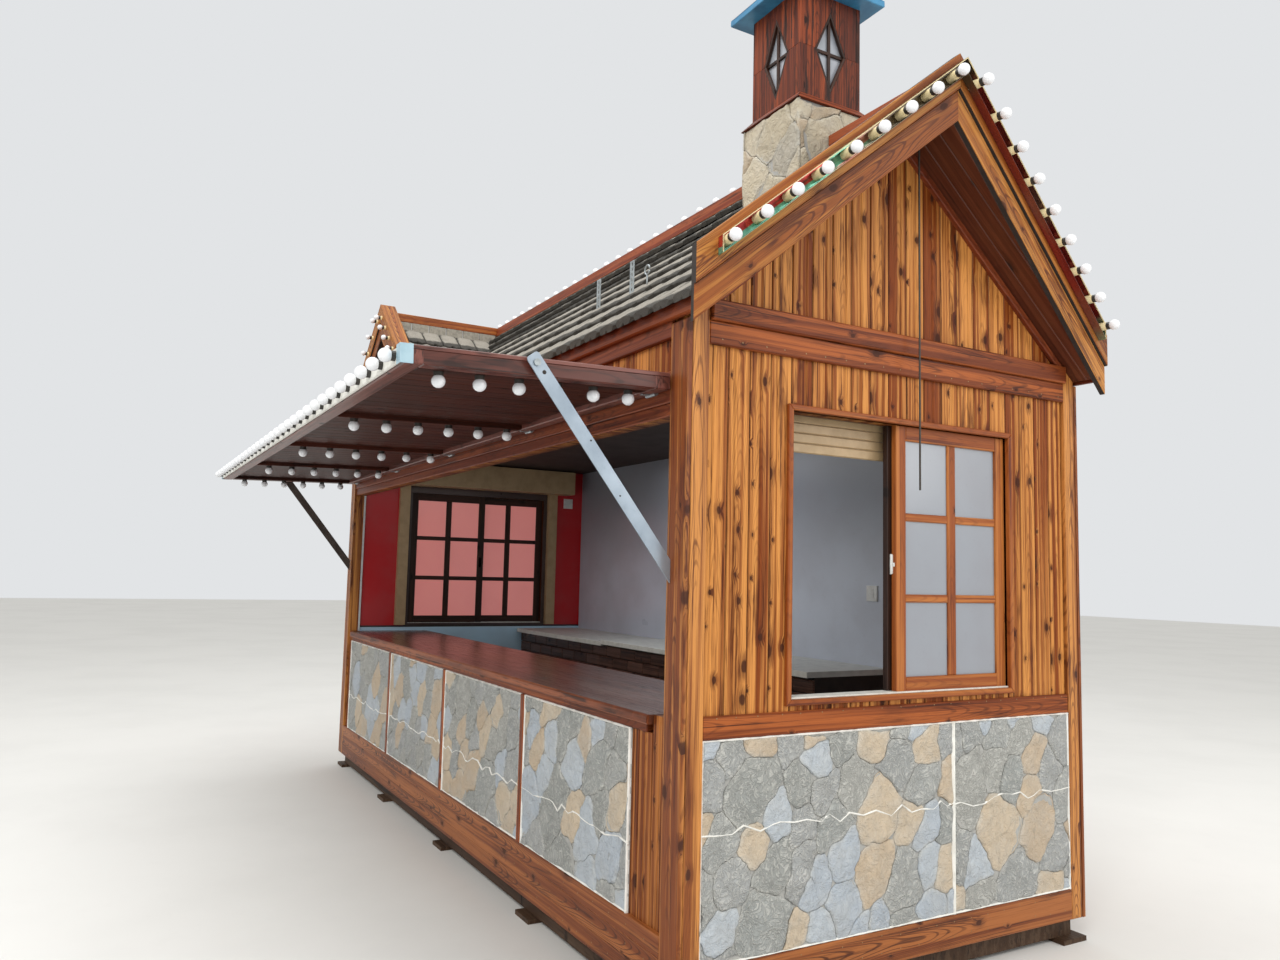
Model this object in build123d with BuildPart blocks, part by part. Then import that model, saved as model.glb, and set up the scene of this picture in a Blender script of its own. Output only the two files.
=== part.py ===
"""Wooden market hut with a serving hatch, stone-look dado panels and a tiled roof.

Millimetres, +X towards the glazed gable end on the right, -Y towards the
serving side, +Z up. The origin is on the ground, under the middle of the box
that holds the hut with its hatch open.
"""
from build123d import *
from math import atan2, cos, degrees, hypot, radians, sin, tan
import os

os.makedirs("parts", exist_ok=True)

# Driving sizes of the body
hut_length = 5030.0
hut_width = 2100.0
ground_gap = 100.0
trim_proud = 18.0
wall_core = 70.0
lining_thickness = 10.0
post_on_side = 117.0
post_on_gable = 90.0
seam_width = 4.0
seam_depth = 6.0

# Heights above the underside of the skirt
gable_skirt_height = 126.0
side_skirt_height = 214.0
rail_bottom = 876.0
rail_height = 80.0
rail_setback = 4.0
counter_height = 940.0
counter_thickness = 66.0
counter_overhang = 11.0
counter_inside_reach = 60.0
counter_from_right = 215.0
counter_from_left = 240.0
window_bottom = 975.0
window_height = 1105.0
window_width = 1214.0
opening_head = 2005.0
head_beam_height = 160.0
lower_fascia_bottom = 2286.0
cornice_bottom = 2256.0
cornice_step = 84.0
cornice_height = 160.0
fascia_step = 59.0
fascia_proud = 22.0
fascia_top = 2402.0
soffit_apex = 3219.0
ceiling_height = 2320.0
worktop_height = 962.0

# Roof
roof_pitch = 40.0
eave_reach = 50.0
apex_overhang = 264.0
foot_overhang = 110.0
deck_plumb = 85.0
course_count = 6
tile_low = 38.0
tile_high = 14.0
board_drop = 4.0
lower_board_plumb = 127.0
upper_board_plumb = 141.0
bargeboard_thickness = 25.0
upper_board_proud = 15.0
soffit_trim_height = 38.0
soffit_trim_thickness = 22.0

# Light strips and bulbs
strip_width = 50.0
strip_depth = 35.0
strip_top_margin = 40.0
strip_foot_margin = 80.0
bulbs_per_slope = 9
first_bulb_run = 104.0
last_bulb_margin = 54.0
bulb_radius = 23.0
bulb_length = 44.0
bulb_chamfer = 12.0
collar_radius = 15.0
collar_length = 26.0
small_bulb_scale = 0.85

# Ridge
ridge_board_top = 3433.0
ridge_board_thickness = 20.0
ridge_trough_width = 84.0
ridge_floor_below_top = 40.0
ridge_bulb_pitch = 160.0

# Chimney
chimney_from_end = 663.0
stack_side = 430.0
stack_wall = 30.0
stack_top = 3575.0
lantern_side = 358.0
lantern_height = 545.0
lantern_wall = 22.0
lantern_foot_flare = 40.0
lantern_foot_height = 45.0
diamond_half_width = 92.0
diamond_half_height = 200.0
diamond_centre = 280.0
diamond_bar = 16.0
diamond_bar_depth = 12.0
diamond_lap = 12.0
lantern_pane = 6.0
cap_overhang = 80.0
cap_edge = 30.0
cap_rise = 210.0
cap_point = 12.0

# Cross gable over the far end of the serving side
dormer_from_end = 450.0
dormer_half_width = 450.0
dormer_eave = 50.0
dormer_face = 230.0
dormer_overhang = 145.0
dormer_wall_thickness = 40.0
dormer_bulbs_per_slope = 4
dormer_courses = 3

# Hatch
hatch_side_gap = 104.0
hatch_depth = 950.0
hatch_height = 2092.0
hatch_thickness = 62.0
hatch_tilt = 1.6
hatch_travel = 88.0
hinge_offset = 12.0
hatch_rear_lap = 4.0
hatch_beam_width = 60.0
hatch_panel_thickness = 12.0
hatch_cladding_thickness = 14.0
hatch_panel_recess = 22.0
hatch_batten_width = 50.0
hatch_batten_height = 22.0
hatch_rows = 5
hatch_row_bulbs = 6
hatch_first_bulb = 188.0
hatch_bulb_pitch = 128.0
hatch_strip_thickness = 12.0
hatch_cap_width = 40.0
hatch_cap_thickness = 2.0
front_bulb_pitch = 127.0
front_bulb_margin = 58.0
hinge_count = 5
hinge_length = 66.0
knuckle_radius = 7.5
knuckle_notch = 1.5
knuckle_gap = 1.0
hinge_leaf = 3.0
hinge_leaf_reach = 42.0
pin_radius = 3.0
pin_clearance = 0.3

# Struts
strut_width = 50.0
strut_thickness = 5.0
strut_end_margin = 32.0
strut_bolt_distance = 518.0
strut_bolt_height = 42.0
strut_foot_height = 1449.0
strut_plane_gap = 16.0
strut_foot_clearance = 5.0
bolt_radius = 6.0
bolt_head = 6.0

# Windows
window_shift = 7.0
casing_width = 22.0
casing_thickness = 16.0
sash_width = 631.0
sash_stile = 54.0
sash_rail = 60.0
sash_thickness = 28.0
sash_inset = 12.0
sash_gap = 2.0
sash_slide_stop = 18.0
upright_bar = 46.0
level_bar = 32.0
bar_thickness = 18.0
pane_columns = 2
pane_rows = 3
glass_thickness = 5.0
shutter_box_bottom = 2112.0
shutter_box_height = 194.0
shutter_box_depth = 170.0
shutter_box_extra = 185.0
guide_width = 80.0
guide_depth = 40.0
guide_clearance = 30.0
guide_bottom = 985.0
curtain_bottom = 1917.0
curtain_thickness = 12.0
slat_height = 47.0
slat_groove = 3.0

# Inside
ceiling_thickness = 12.0
worktop_depth = 582.0
worktop_overhang = 40.0
worktop_thickness = 30.0
worktop_step = 12.0
worktop_step_from_end = 3350.0
worktop_start_from_end = 1070.0
cabinet_panel = 18.0
cabinet_bays = 6

# Stone panels and boards
stone_thickness = 16.0
stone_bays = 4
stone_panel_width = 1105.0
near_strip = 243.0
far_strip = 123.0
batten_width = 40.0
gable_joint_share = 0.63
stone_gap = 4.0

# Base
foot_size = 150.0
foot_height = 20.0
frame_inset = 45.0
frame_beam = 60.0
frame_rows = 4
floor_thickness = 30.0

# Back door
door_width = 720.0
door_height = 1950.0
door_from_end = 200.0
door_gap = 4.0
door_thickness = 40.0
door_frame = 50.0

# Fittings
upright_width = 40.0
upright_thickness = 4.0
upright_height = 175.0
upright_from_end = (1150.0, 1500.0)
upright_from_ridge = 650.0
cable_diameter = 8.0
cable_from_wall = 60.0
cable_end = 1791.0
conduit_diameter = 22.0

# Derived levels above the ground
base_z = ground_gap
side_skirt_z = base_z + side_skirt_height
gable_skirt_z = base_z + gable_skirt_height
rail_z = base_z + rail_bottom
rail_top_z = rail_z + rail_height
counter_z = base_z + counter_height
opening_head_z = base_z + opening_head
apex_z = base_z + soffit_apex
ceiling_z = base_z + ceiling_height
pitch_tan = tan(radians(roof_pitch))

# Derived plan positions
bulb_reach = collar_length + bulb_length
front_bulb_reach = small_bulb_scale * bulb_reach
tilt = radians(hatch_tilt)
bulb_tip_radius = small_bulb_scale * (bulb_radius * cos(radians(30)) - bulb_chamfer)
hatch_nose = hatch_depth + hatch_strip_thickness + front_bulb_reach
front_reach = (hut_width / 2 + hinge_offset + hatch_nose * cos(tilt)
               + (hatch_thickness / 2 + bulb_tip_radius) * sin(tilt))
back_reach = hut_width / 2 + eave_reach
hut_centre_y = (front_reach - back_reach) / 2
front_y = hut_centre_y - hut_width / 2
back_y = hut_centre_y + hut_width / 2
end_x = hut_length / 2
clad_front_y = front_y + trim_proud
clad_back_y = back_y - trim_proud
inner_front_y = clad_front_y + wall_core
inner_back_y = clad_back_y - wall_core
clad_x = end_x - trim_proud
inner_x = clad_x - wall_core
bay_x = end_x - post_on_side
bay_front_y = front_y + post_on_gable
bay_back_y = back_y - post_on_gable


def block(x0, x1, y0, y1, z0, z1, mode=Mode.ADD):
    """Add a squared piece between two opposite corners to the open part."""
    with Locations(((x0 + x1) / 2, (y0 + y1) / 2, (z0 + z1) / 2)):
        return Box(abs(x1 - x0), abs(y1 - y0), abs(z1 - z0), mode=mode)


def soffit_level(y):
    """Height of the underside of the roof deck at one place across the hut."""
    return apex_z - pitch_tan * abs(y - hut_centre_y)


def deck_level(y):
    """Height of the top of the roof deck at one place across the hut."""
    return soffit_level(y) + deck_plumb


def save(sub_part, label):
    """Name a finished piece and write it to its own file."""
    sub_part.part.label = label
    export_step(sub_part.part, f"parts/{label}.step")


centre_plane = Plane.XZ.offset(-hut_centre_y)

# Base of bearers on feet, set in under the skirt
beam_x = end_x - frame_inset
beam_front_y = front_y + frame_inset
beam_back_y = back_y - frame_inset
with BuildPart() as base_frame:
    for side_y in (beam_front_y, beam_back_y - frame_beam):
        block(-beam_x, beam_x, side_y, side_y + frame_beam, foot_height, base_z)
    for row in range(frame_rows + 1):
        row_x = -beam_x + frame_beam / 2 + row * (2 * beam_x - frame_beam) / frame_rows
        block(row_x - frame_beam / 2, row_x + frame_beam / 2,
              beam_front_y, beam_back_y, foot_height, base_z)
        for foot_y in (beam_front_y + frame_beam / 2, beam_back_y - frame_beam / 2):
            block(row_x - foot_size / 2, row_x + foot_size / 2,
                  foot_y - foot_size / 2, foot_y + foot_size / 2, 0, foot_height)
save(base_frame, "base_frame")

floor_z = base_z + floor_thickness
with BuildPart() as floor_deck:
    block(-bay_x, bay_x, inner_front_y, inner_back_y, base_z, floor_z)
    block(-inner_x, inner_x, bay_front_y, bay_back_y, base_z, floor_z)
save(floor_deck, "floor_deck")

# Corner posts, each with the seam between its two facing boards
with BuildPart() as corner_posts:
    for end in (-1, 1):
        for side in (-1, 1):
            outer_y = hut_centre_y + side * hut_width / 2
            inner_y = outer_y - side * post_on_gable
            with BuildSketch(Plane.YZ.offset(end * bay_x)):
                Polygon((outer_y, base_z), (inner_y, base_z), (inner_y, soffit_level(inner_y)),
                        (outer_y, soffit_level(outer_y)), align=None)
            extrude(amount=end * post_on_side)
            seam_y = outer_y - side * trim_proud
            block(end * (end_x - seam_depth), end * end_x, seam_y, seam_y - side * seam_width,
                  base_z, apex_z, mode=Mode.SUBTRACT)
save(corner_posts, "corner_posts")

# Front and back walls between the posts
counter_under_z = counter_z - counter_thickness
counter_x0 = -end_x + counter_from_left
counter_x1 = end_x - counter_from_right
with BuildPart() as front_dado:
    block(-bay_x, bay_x, clad_front_y, inner_front_y, base_z, counter_z)
    block(counter_x0, counter_x1, clad_front_y, inner_front_y,
          counter_under_z, counter_z, mode=Mode.SUBTRACT)
save(front_dado, "front_dado")

with BuildPart() as counter_top:
    block(counter_x0, counter_x1, front_y - counter_overhang,
          inner_front_y + counter_inside_reach, counter_under_z, counter_z)
    fillet(edges().filter_by(Axis.X).group_by(Axis.Y)[0], radius=counter_overhang / 2)
save(counter_top, "counter_top")

with BuildPart() as front_header:
    with BuildSketch(Plane.YZ.offset(-bay_x)):
        Polygon((clad_front_y, opening_head_z), (inner_front_y, opening_head_z),
                (inner_front_y, soffit_level(inner_front_y)),
                (clad_front_y, soffit_level(clad_front_y)), align=None)
    extrude(amount=2 * bay_x)
save(front_header, "front_header")

door_x1 = bay_x - door_from_end
door_x0 = door_x1 - door_width
door_top_z = base_z + door_height
with BuildPart() as back_wall:
    with BuildSketch(Plane.YZ.offset(-bay_x)):
        Polygon((inner_back_y, base_z), (clad_back_y, base_z),
                (clad_back_y, soffit_level(clad_back_y)),
                (inner_back_y, soffit_level(inner_back_y)), align=None)
    extrude(amount=2 * bay_x)
    block(door_x0, door_x1, inner_back_y, clad_back_y, base_z, door_top_z, mode=Mode.SUBTRACT)
save(back_wall, "back_wall")

# Gable walls, cut through for the windows
window_z0 = base_z + window_bottom
window_z1 = window_z0 + window_height
window_y = hut_centre_y + window_shift
window_y0 = window_y - window_width / 2
window_y1 = window_y + window_width / 2
hole_y0 = window_y0 + casing_width
hole_y1 = window_y1 - casing_width
hole_z0 = window_z0 + casing_width
hole_z1 = window_z1 - casing_width
with BuildPart() as gable_wall_right:
    with BuildSketch(Plane.YZ.offset(inner_x)):
        Polygon((bay_front_y, base_z), (bay_back_y, base_z),
                (bay_back_y, soffit_level(bay_back_y)), (hut_centre_y, apex_z),
                (bay_front_y, soffit_level(bay_front_y)), align=None)
        with Locations((window_y, (hole_z0 + hole_z1) / 2)):
            Rectangle(hole_y1 - hole_y0, hole_z1 - hole_z0, mode=Mode.SUBTRACT)
    extrude(amount=wall_core)
save(gable_wall_right, "gable_wall_right")

with BuildPart() as gable_wall_left:
    mirror(gable_wall_right.part, about=Plane.YZ)
save(gable_wall_left, "gable_wall_left")

# Skirt boards round the foot of the walls
with BuildPart() as skirt_boards:
    for end in (-1, 1):
        block(end * clad_x, end * end_x, bay_front_y, bay_back_y, base_z, gable_skirt_z)
    block(-bay_x, bay_x, front_y, clad_front_y, base_z, side_skirt_z)
    block(-bay_x, door_x0 - door_frame, clad_back_y, back_y, base_z, side_skirt_z)
    block(door_x1 + door_frame, bay_x, clad_back_y, back_y, base_z, side_skirt_z)
save(skirt_boards, "skirt_boards")

# Stone-look panels of the serving side, with battens between the bays
stone_x1 = end_x - post_on_side - near_strip
stone_x0 = -end_x + post_on_side + far_strip
bay_pitch = stone_panel_width + batten_width
with BuildPart() as stone_panels_front:
    for bay in range(stone_bays):
        start_x = stone_x0 + bay * bay_pitch
        stop_x = stone_x1 if bay == stone_bays - 1 else start_x + stone_panel_width
        block(start_x, stop_x, clad_front_y - stone_thickness, clad_front_y,
              side_skirt_z, counter_under_z)
save(stone_panels_front, "stone_panels_front")

# Back panels stop at the door frame
back_end_x = door_x0 - door_frame
back_pitch = (back_end_x + bay_x + batten_width) / stone_bays
with BuildPart() as stone_panels_back:
    for bay in range(stone_bays):
        start_x = -bay_x + bay * back_pitch
        block(start_x, start_x + back_pitch - batten_width, clad_back_y,
              clad_back_y + stone_thickness, side_skirt_z, rail_z)
    block(door_x1 + door_frame, bay_x, clad_back_y, clad_back_y + stone_thickness,
          side_skirt_z, rail_z)
save(stone_panels_back, "stone_panels_back")

with BuildPart() as panel_battens:
    for bay in range(1, stone_bays):
        batten_x = stone_x0 + bay * bay_pitch
        block(batten_x - batten_width, batten_x, front_y, clad_front_y,
              side_skirt_z, counter_under_z)
        batten_x = -bay_x + bay * back_pitch
        block(batten_x - batten_width, batten_x, clad_back_y, back_y, side_skirt_z, rail_z)
save(panel_battens, "panel_battens")

# Two stone-look panels on each gable, side by side
joint_y = bay_front_y + gable_joint_share * (bay_back_y - bay_front_y)
with BuildPart() as stone_panels_gables:
    for end in (-1, 1):
        block(end * clad_x, end * (clad_x + stone_thickness), bay_front_y,
              joint_y - stone_gap / 2, gable_skirt_z, rail_z)
        block(end * clad_x, end * (clad_x + stone_thickness), joint_y + stone_gap / 2,
              bay_back_y, gable_skirt_z, rail_z)
save(stone_panels_gables, "stone_panels_gables")

# Rails over the stone panels and stepped cornice boards across each gable
rail_proud = trim_proud - rail_setback
cornice_z0 = base_z + cornice_bottom
cornice_z1 = cornice_z0 + cornice_step
cornice_z2 = cornice_z0 + cornice_height
with BuildPart() as wall_rails:
    for end in (-1, 1):
        block(end * clad_x, end * (clad_x + rail_proud), bay_front_y, bay_back_y,
              rail_z, rail_top_z)
        block(end * clad_x, end * end_x, bay_front_y, bay_back_y, cornice_z0, cornice_z2)
        block(end * end_x, end * (end_x + trim_proud), bay_front_y, bay_back_y,
              cornice_z1, cornice_z2)
    block(-bay_x, door_x0 - door_frame, clad_back_y, clad_back_y + rail_proud,
          rail_z, rail_top_z)
    block(door_x1 + door_frame, bay_x, clad_back_y, clad_back_y + rail_proud,
          rail_z, rail_top_z)
    with BuildSketch(Plane.YZ.offset(-end_x - trim_proud)):
        for side in (-1, 1):
            corner_y = hut_centre_y + side * (hut_width / 2 - post_on_gable)
            corner_z = soffit_level(corner_y)
            Polygon((corner_y, corner_z), (corner_y, corner_z + cornice_height),
                    (corner_y - side * cornice_height / pitch_tan, corner_z + cornice_height),
                    align=None)
    extrude(amount=2 * (end_x + trim_proud), mode=Mode.SUBTRACT)
save(wall_rails, "wall_rails")

# Splay of the bargeboards: they lean out from the foot to the apex
splay_run = hut_width / 2 + eave_reach
splay = atan2(apex_overhang - foot_overhang, splay_run)
board_run = splay_run / cos(splay)
foot_x = end_x + foot_overhang
foot_y = hut_centre_y - splay_run
board_foot_z = soffit_level(foot_y) - board_drop
board_climb = pitch_tan * splay_run / board_run
board_plumb = lower_board_plumb + upper_board_plumb


def splay_plane(outwards):
    """Upright plane along the right-hand front bargeboard, moved outwards."""
    normal = Vector(cos(splay), -sin(splay), 0)
    return Plane(origin=Vector(foot_x, foot_y, 0) + normal * outwards,
                 x_dir=Vector(sin(splay), cos(splay), 0), z_dir=normal)


def sloping_band(low, high, start, stop):
    """Draw a band along the slope between two levels over the board foot."""
    return Polygon((start, board_foot_z + low + board_climb * start),
                   (stop, board_foot_z + low + board_climb * stop),
                   (stop, board_foot_z + high + board_climb * stop),
                   (start, board_foot_z + high + board_climb * start), align=None)


inner_splay = splay_plane(-bargeboard_thickness)


def board_back_x(y):
    """Inner face of the right-hand bargeboard at one place on the serving side."""
    return inner_splay.origin.X + tan(splay) * (y - inner_splay.origin.Y)


# Stepped fascia under the eaves, between and over the posts
fascia_z0 = base_z + lower_fascia_bottom
fascia_z1 = fascia_z0 + fascia_step
fascia_z2 = base_z + fascia_top
with BuildPart() as eaves_fascia:
    block(0, bay_x, front_y, clad_front_y, fascia_z0, fascia_z2)
    block(0, end_x + apex_overhang, front_y - fascia_proud, front_y, fascia_z1, fascia_z2)
    split(bisect_by=inner_splay, keep=Keep.BOTTOM)
    mirror(about=centre_plane)
    mirror(about=Plane.YZ)
save(eaves_fascia, "eaves_fascia")

# Head beam over the serving opening, which carries the hatch hinges
with BuildPart() as head_beam:
    block(-bay_x, bay_x, front_y, clad_front_y,
          opening_head_z + head_beam_height / 3, opening_head_z + head_beam_height)
    block(-bay_x, bay_x, front_y + trim_proud / 3, clad_front_y,
          opening_head_z, opening_head_z + head_beam_height / 3)
save(head_beam, "head_beam")

# Roof deck: rafters boarded underneath, one slope each side
with BuildPart() as deck_blank:
    with BuildSketch(Plane.YZ):
        Polygon((clad_front_y, soffit_level(clad_front_y)), (hut_centre_y, apex_z),
                (hut_centre_y, apex_z + deck_plumb), (clad_front_y, deck_level(clad_front_y)),
                align=None)
    extrude(amount=end_x + apex_overhang)
    split(bisect_by=inner_splay, keep=Keep.BOTTOM)
    mirror(about=Plane.YZ)

with BuildPart() as roof_deck_front:
    add(deck_blank.part)
save(roof_deck_front, "roof_deck_front")

with BuildPart() as roof_deck_back:
    mirror(deck_blank.part, about=centre_plane)
save(roof_deck_back, "roof_deck_back")

# Tiled slopes in stepped courses
tile_eave_y = hut_centre_y - splay_run
course_run = splay_run / course_count


def course_points(reach, lift):
    """Stepped tile surface up one slope, over a level line or a deck."""
    points = []
    for course in range(course_count):
        low = reach - course * course_run
        high = low - course_run
        points.append((-low, lift - pitch_tan * low + tile_low))
        points.append((-high, lift - pitch_tan * high + tile_high))
    return points


front_courses = [(hut_centre_y + y, z) for y, z in course_points(splay_run, apex_z + deck_plumb)]
with BuildPart() as tile_blank:
    with BuildSketch(Plane.YZ):
        Polygon((tile_eave_y, deck_level(tile_eave_y)), *front_courses,
                (hut_centre_y, deck_level(hut_centre_y)), align=None)
    extrude(amount=end_x + apex_overhang)
    split(bisect_by=inner_splay, keep=Keep.BOTTOM)
    mirror(about=Plane.YZ)

with BuildPart() as roof_tiles_front:
    add(tile_blank.part)
save(roof_tiles_front, "roof_tiles_front")

with BuildPart() as roof_tiles_back:
    mirror(tile_blank.part, about=centre_plane)
save(roof_tiles_back, "roof_tiles_back")

# Everything under the tile surface, to seat what stands on the roof
with BuildPart() as roof_mass:
    with BuildSketch(Plane.YZ):
        Polygon((tile_eave_y, base_z), *front_courses, (hut_centre_y, base_z), align=None)
    extrude(amount=end_x + apex_overhang, both=True)
    mirror(about=centre_plane)

# Bargeboards of both gables, two boards high, cut plumb at the foot
with BuildPart() as bargeboards:
    with BuildSketch(splay_plane(-bargeboard_thickness)):
        sloping_band(0, board_plumb, 0, board_run + bargeboard_thickness)
    extrude(amount=bargeboard_thickness)
    with BuildSketch(splay_plane(0)):
        sloping_band(lower_board_plumb, board_plumb, 0, board_run + bargeboard_thickness)
    extrude(amount=upper_board_proud)
    split(bisect_by=centre_plane, keep=Keep.TOP)
    mirror(about=centre_plane)
    mirror(about=Plane.YZ)
save(bargeboards, "bargeboards")

# Metal light strips on the upper boards
strip_plumb = strip_width / cos(radians(roof_pitch))
strip_high = board_plumb - strip_top_margin
with BuildPart() as light_strips:
    with BuildSketch(splay_plane(upper_board_proud)):
        sloping_band(strip_high - strip_plumb, strip_high, strip_foot_margin,
                     board_run + strip_depth)
    extrude(amount=strip_depth)
    split(bisect_by=centre_plane, keep=Keep.TOP)
    mirror(about=centre_plane)
    mirror(about=Plane.YZ)
save(light_strips, "light_strips")

# Globe bulb with its socket, pointing along Z from its seat
with BuildPart() as bulb:
    with BuildSketch():
        RegularPolygon(collar_radius, side_count=6)
    extrude(amount=collar_length)
    with BuildSketch(Plane.XY.offset(collar_length)):
        RegularPolygon(bulb_radius, side_count=6)
    extrude(amount=bulb_length)
    chamfer(faces().sort_by(Axis.Z)[-1].edges(), length=bulb_chamfer)

small_bulb = scale(bulb.part, by=small_bulb_scale)


def bulbs_at(planes, lamp):
    """Copies of one bulb seated on a list of planes."""
    return [plane.location * lamp for plane in planes]


strip_mid = strip_high - strip_plumb / 2
bulb_step = (board_run - last_bulb_margin - first_bulb_run) / (bulbs_per_slope - 1)
strip_face = splay_plane(upper_board_proud + strip_depth)
gable_bulb_planes = []
for place in range(bulbs_per_slope):
    along = first_bulb_run + place * bulb_step
    height = board_foot_z + strip_mid + board_climb * along
    gable_bulb_planes.append(strip_face.shift_origin(strip_face.from_local_coords((along, height, 0))))

with BuildPart() as gable_bulbs:
    add(bulbs_at(gable_bulb_planes, bulb.part))
    mirror(about=centre_plane)
    mirror(about=Plane.YZ)
save(gable_bulbs, "gable_bulbs")

# Trim battens where the soffit meets the gable walls
with BuildPart() as soffit_trims:
    with BuildSketch(Plane.YZ.offset(clad_x)):
        Polygon((bay_front_y, soffit_level(bay_front_y) - soffit_trim_height),
                (hut_centre_y, apex_z - soffit_trim_height), (hut_centre_y, apex_z),
                (bay_front_y, soffit_level(bay_front_y)), align=None)
        with Locations((hut_centre_y, cornice_z2 - splay_run / 2)):
            Rectangle(2 * splay_run, splay_run, mode=Mode.SUBTRACT)
    extrude(amount=soffit_trim_thickness)
    mirror(about=centre_plane)
    mirror(about=Plane.YZ)
save(soffit_trims, "soffit_trims")

# Ridge trough for the row of bulbs, broken by the chimney
chimney_x = end_x - chimney_from_end
stack_z = base_z + stack_top
half_stack = stack_side / 2
half_trough = ridge_trough_width / 2
ridge_z = base_z + ridge_board_top
ridge_floor_z = ridge_z - ridge_floor_below_top


def ridge_section():
    """Draw the trough, cut square at the top and left whole at the bottom."""
    Rectangle(ridge_trough_width, deck_plumb * 2, align=(Align.CENTER, Align.MAX))
    return Rectangle(ridge_trough_width - 2 * ridge_board_thickness, 2 * ridge_floor_below_top,
                     mode=Mode.SUBTRACT)


ridge_plane = Plane(origin=(0, hut_centre_y, ridge_z), x_dir=(0, 1, 0), z_dir=(1, 0, 0))
with BuildPart() as ridge_boards:
    with BuildSketch(ridge_plane):
        ridge_section()
    extrude(amount=board_back_x(hut_centre_y - half_trough), both=True)
    block(chimney_x - half_stack, chimney_x + half_stack, hut_centre_y - half_trough,
          hut_centre_y + half_trough, apex_z, ridge_z, mode=Mode.SUBTRACT)
    add(roof_mass.part, mode=Mode.SUBTRACT)
save(ridge_boards, "ridge_boards")

# Chimney: stone stack seated on the tiles, boarded lantern and a hipped cap
stack_foot_z = apex_z - stack_side
with BuildPart() as chimney_stack:
    block(chimney_x - half_stack, chimney_x + half_stack, hut_centre_y - half_stack,
          hut_centre_y + half_stack, stack_foot_z, stack_z)
    block(chimney_x - half_stack + stack_wall, chimney_x + half_stack - stack_wall,
          hut_centre_y - half_stack + stack_wall, hut_centre_y + half_stack - stack_wall,
          stack_foot_z, stack_z - stack_wall, mode=Mode.SUBTRACT)
    add(roof_mass.part, mode=Mode.SUBTRACT)
save(chimney_stack, "chimney_stack")

lantern_top_z = stack_z + lantern_height
diamond_z = stack_z + diamond_centre


def diamond(half_width, half_height, mode=Mode.ADD):
    """Draw a diamond standing on its point."""
    return Polygon((-half_width, 0), (0, -half_height), (half_width, 0), (0, half_height),
                   align=None, mode=mode)


def light_plane(turn, out):
    """Upright plane on one of the lantern's four sides, at a distance from its middle."""
    angle = radians(90 * turn)
    return Plane(origin=(chimney_x + out * cos(angle), hut_centre_y + out * sin(angle), diamond_z),
                 x_dir=(-sin(angle), cos(angle), 0), z_dir=(cos(angle), sin(angle), 0))


lantern_inner = lantern_side / 2 - lantern_wall
with BuildPart() as lantern_body:
    with BuildSketch(Plane.XY.offset(stack_z)):
        with Locations((chimney_x, hut_centre_y)):
            Rectangle(lantern_side, lantern_side)
    extrude(amount=lantern_height)
    with BuildSketch(Plane.XY.offset(stack_z)):
        with Locations((chimney_x, hut_centre_y)):
            Rectangle(lantern_side + 2 * lantern_foot_flare, lantern_side + 2 * lantern_foot_flare)
    with BuildSketch(Plane.XY.offset(stack_z + lantern_foot_height)):
        with Locations((chimney_x, hut_centre_y)):
            Rectangle(lantern_side, lantern_side)
    loft()
    block(chimney_x - lantern_inner, chimney_x + lantern_inner, hut_centre_y - lantern_inner,
          hut_centre_y + lantern_inner, stack_z, lantern_top_z, mode=Mode.SUBTRACT)
    for turn in range(4):
        with BuildSketch(light_plane(turn, lantern_inner)):
            diamond(diamond_half_width, diamond_half_height)
        extrude(amount=lantern_wall, mode=Mode.SUBTRACT)
        with BuildSketch(light_plane(turn, lantern_inner)):
            Rectangle(diamond_bar, 2 * diamond_half_height)
            Rectangle(2 * diamond_half_width, diamond_bar)
            diamond(diamond_half_width, diamond_half_height, mode=Mode.INTERSECT)
        extrude(amount=diamond_bar_depth)
save(lantern_body, "lantern_body")

with BuildPart() as lantern_panes:
    for turn in range(4):
        with BuildSketch(light_plane(turn, lantern_inner - lantern_pane)):
            diamond(diamond_half_width + diamond_lap, diamond_half_height + diamond_lap)
        extrude(amount=lantern_pane)
save(lantern_panes, "lantern_panes")

cap_side = lantern_side + 2 * cap_overhang
with BuildPart() as lantern_cap:
    with BuildSketch(Plane.XY.offset(lantern_top_z)):
        with Locations((chimney_x, hut_centre_y)):
            Rectangle(cap_side, cap_side)
    extrude(amount=cap_edge)
    with BuildSketch(Plane.XY.offset(lantern_top_z + cap_edge)):
        with Locations((chimney_x, hut_centre_y)):
            Rectangle(cap_side, cap_side)
    extrude(amount=cap_rise, taper=degrees(atan2(cap_side / 2 - cap_point, cap_rise)))
save(lantern_cap, "lantern_cap")

# Cross gable over the far end of the serving side
dormer_x = -end_x + dormer_from_end
dormer_y = front_y + dormer_face
dormer_front_y = dormer_y - dormer_overhang
dormer_edge = dormer_half_width + dormer_eave


def dormer_level(run, lift):
    """Height on the cross gable at one distance from its ridge."""
    return apex_z + lift - pitch_tan * run


def cross_plane(y):
    """Plane across the cross gable, facing the serving side."""
    return Plane(origin=(dormer_x, y, 0), x_dir=(1, 0, 0), z_dir=(0, -1, 0))


def chevron(low, high, half, mode=Mode.ADD):
    """Draw a band that follows both slopes of the cross gable."""
    return Polygon((-half, dormer_level(half, low)), (0, dormer_level(0, low)),
                   (half, dormer_level(half, low)), (half, dormer_level(half, high)),
                   (0, dormer_level(0, high)), (-half, dormer_level(half, high)),
                   align=None, mode=mode)


def gable_shape(half, mode=Mode.ADD):
    """Draw the wall under the cross gable's soffit, down into the roof."""
    return Polygon((-half, eave_low_z), (half, eave_low_z), (half, dormer_level(half, 0)),
                   (0, apex_z), (-half, dormer_level(half, 0)), align=None, mode=mode)


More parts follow.
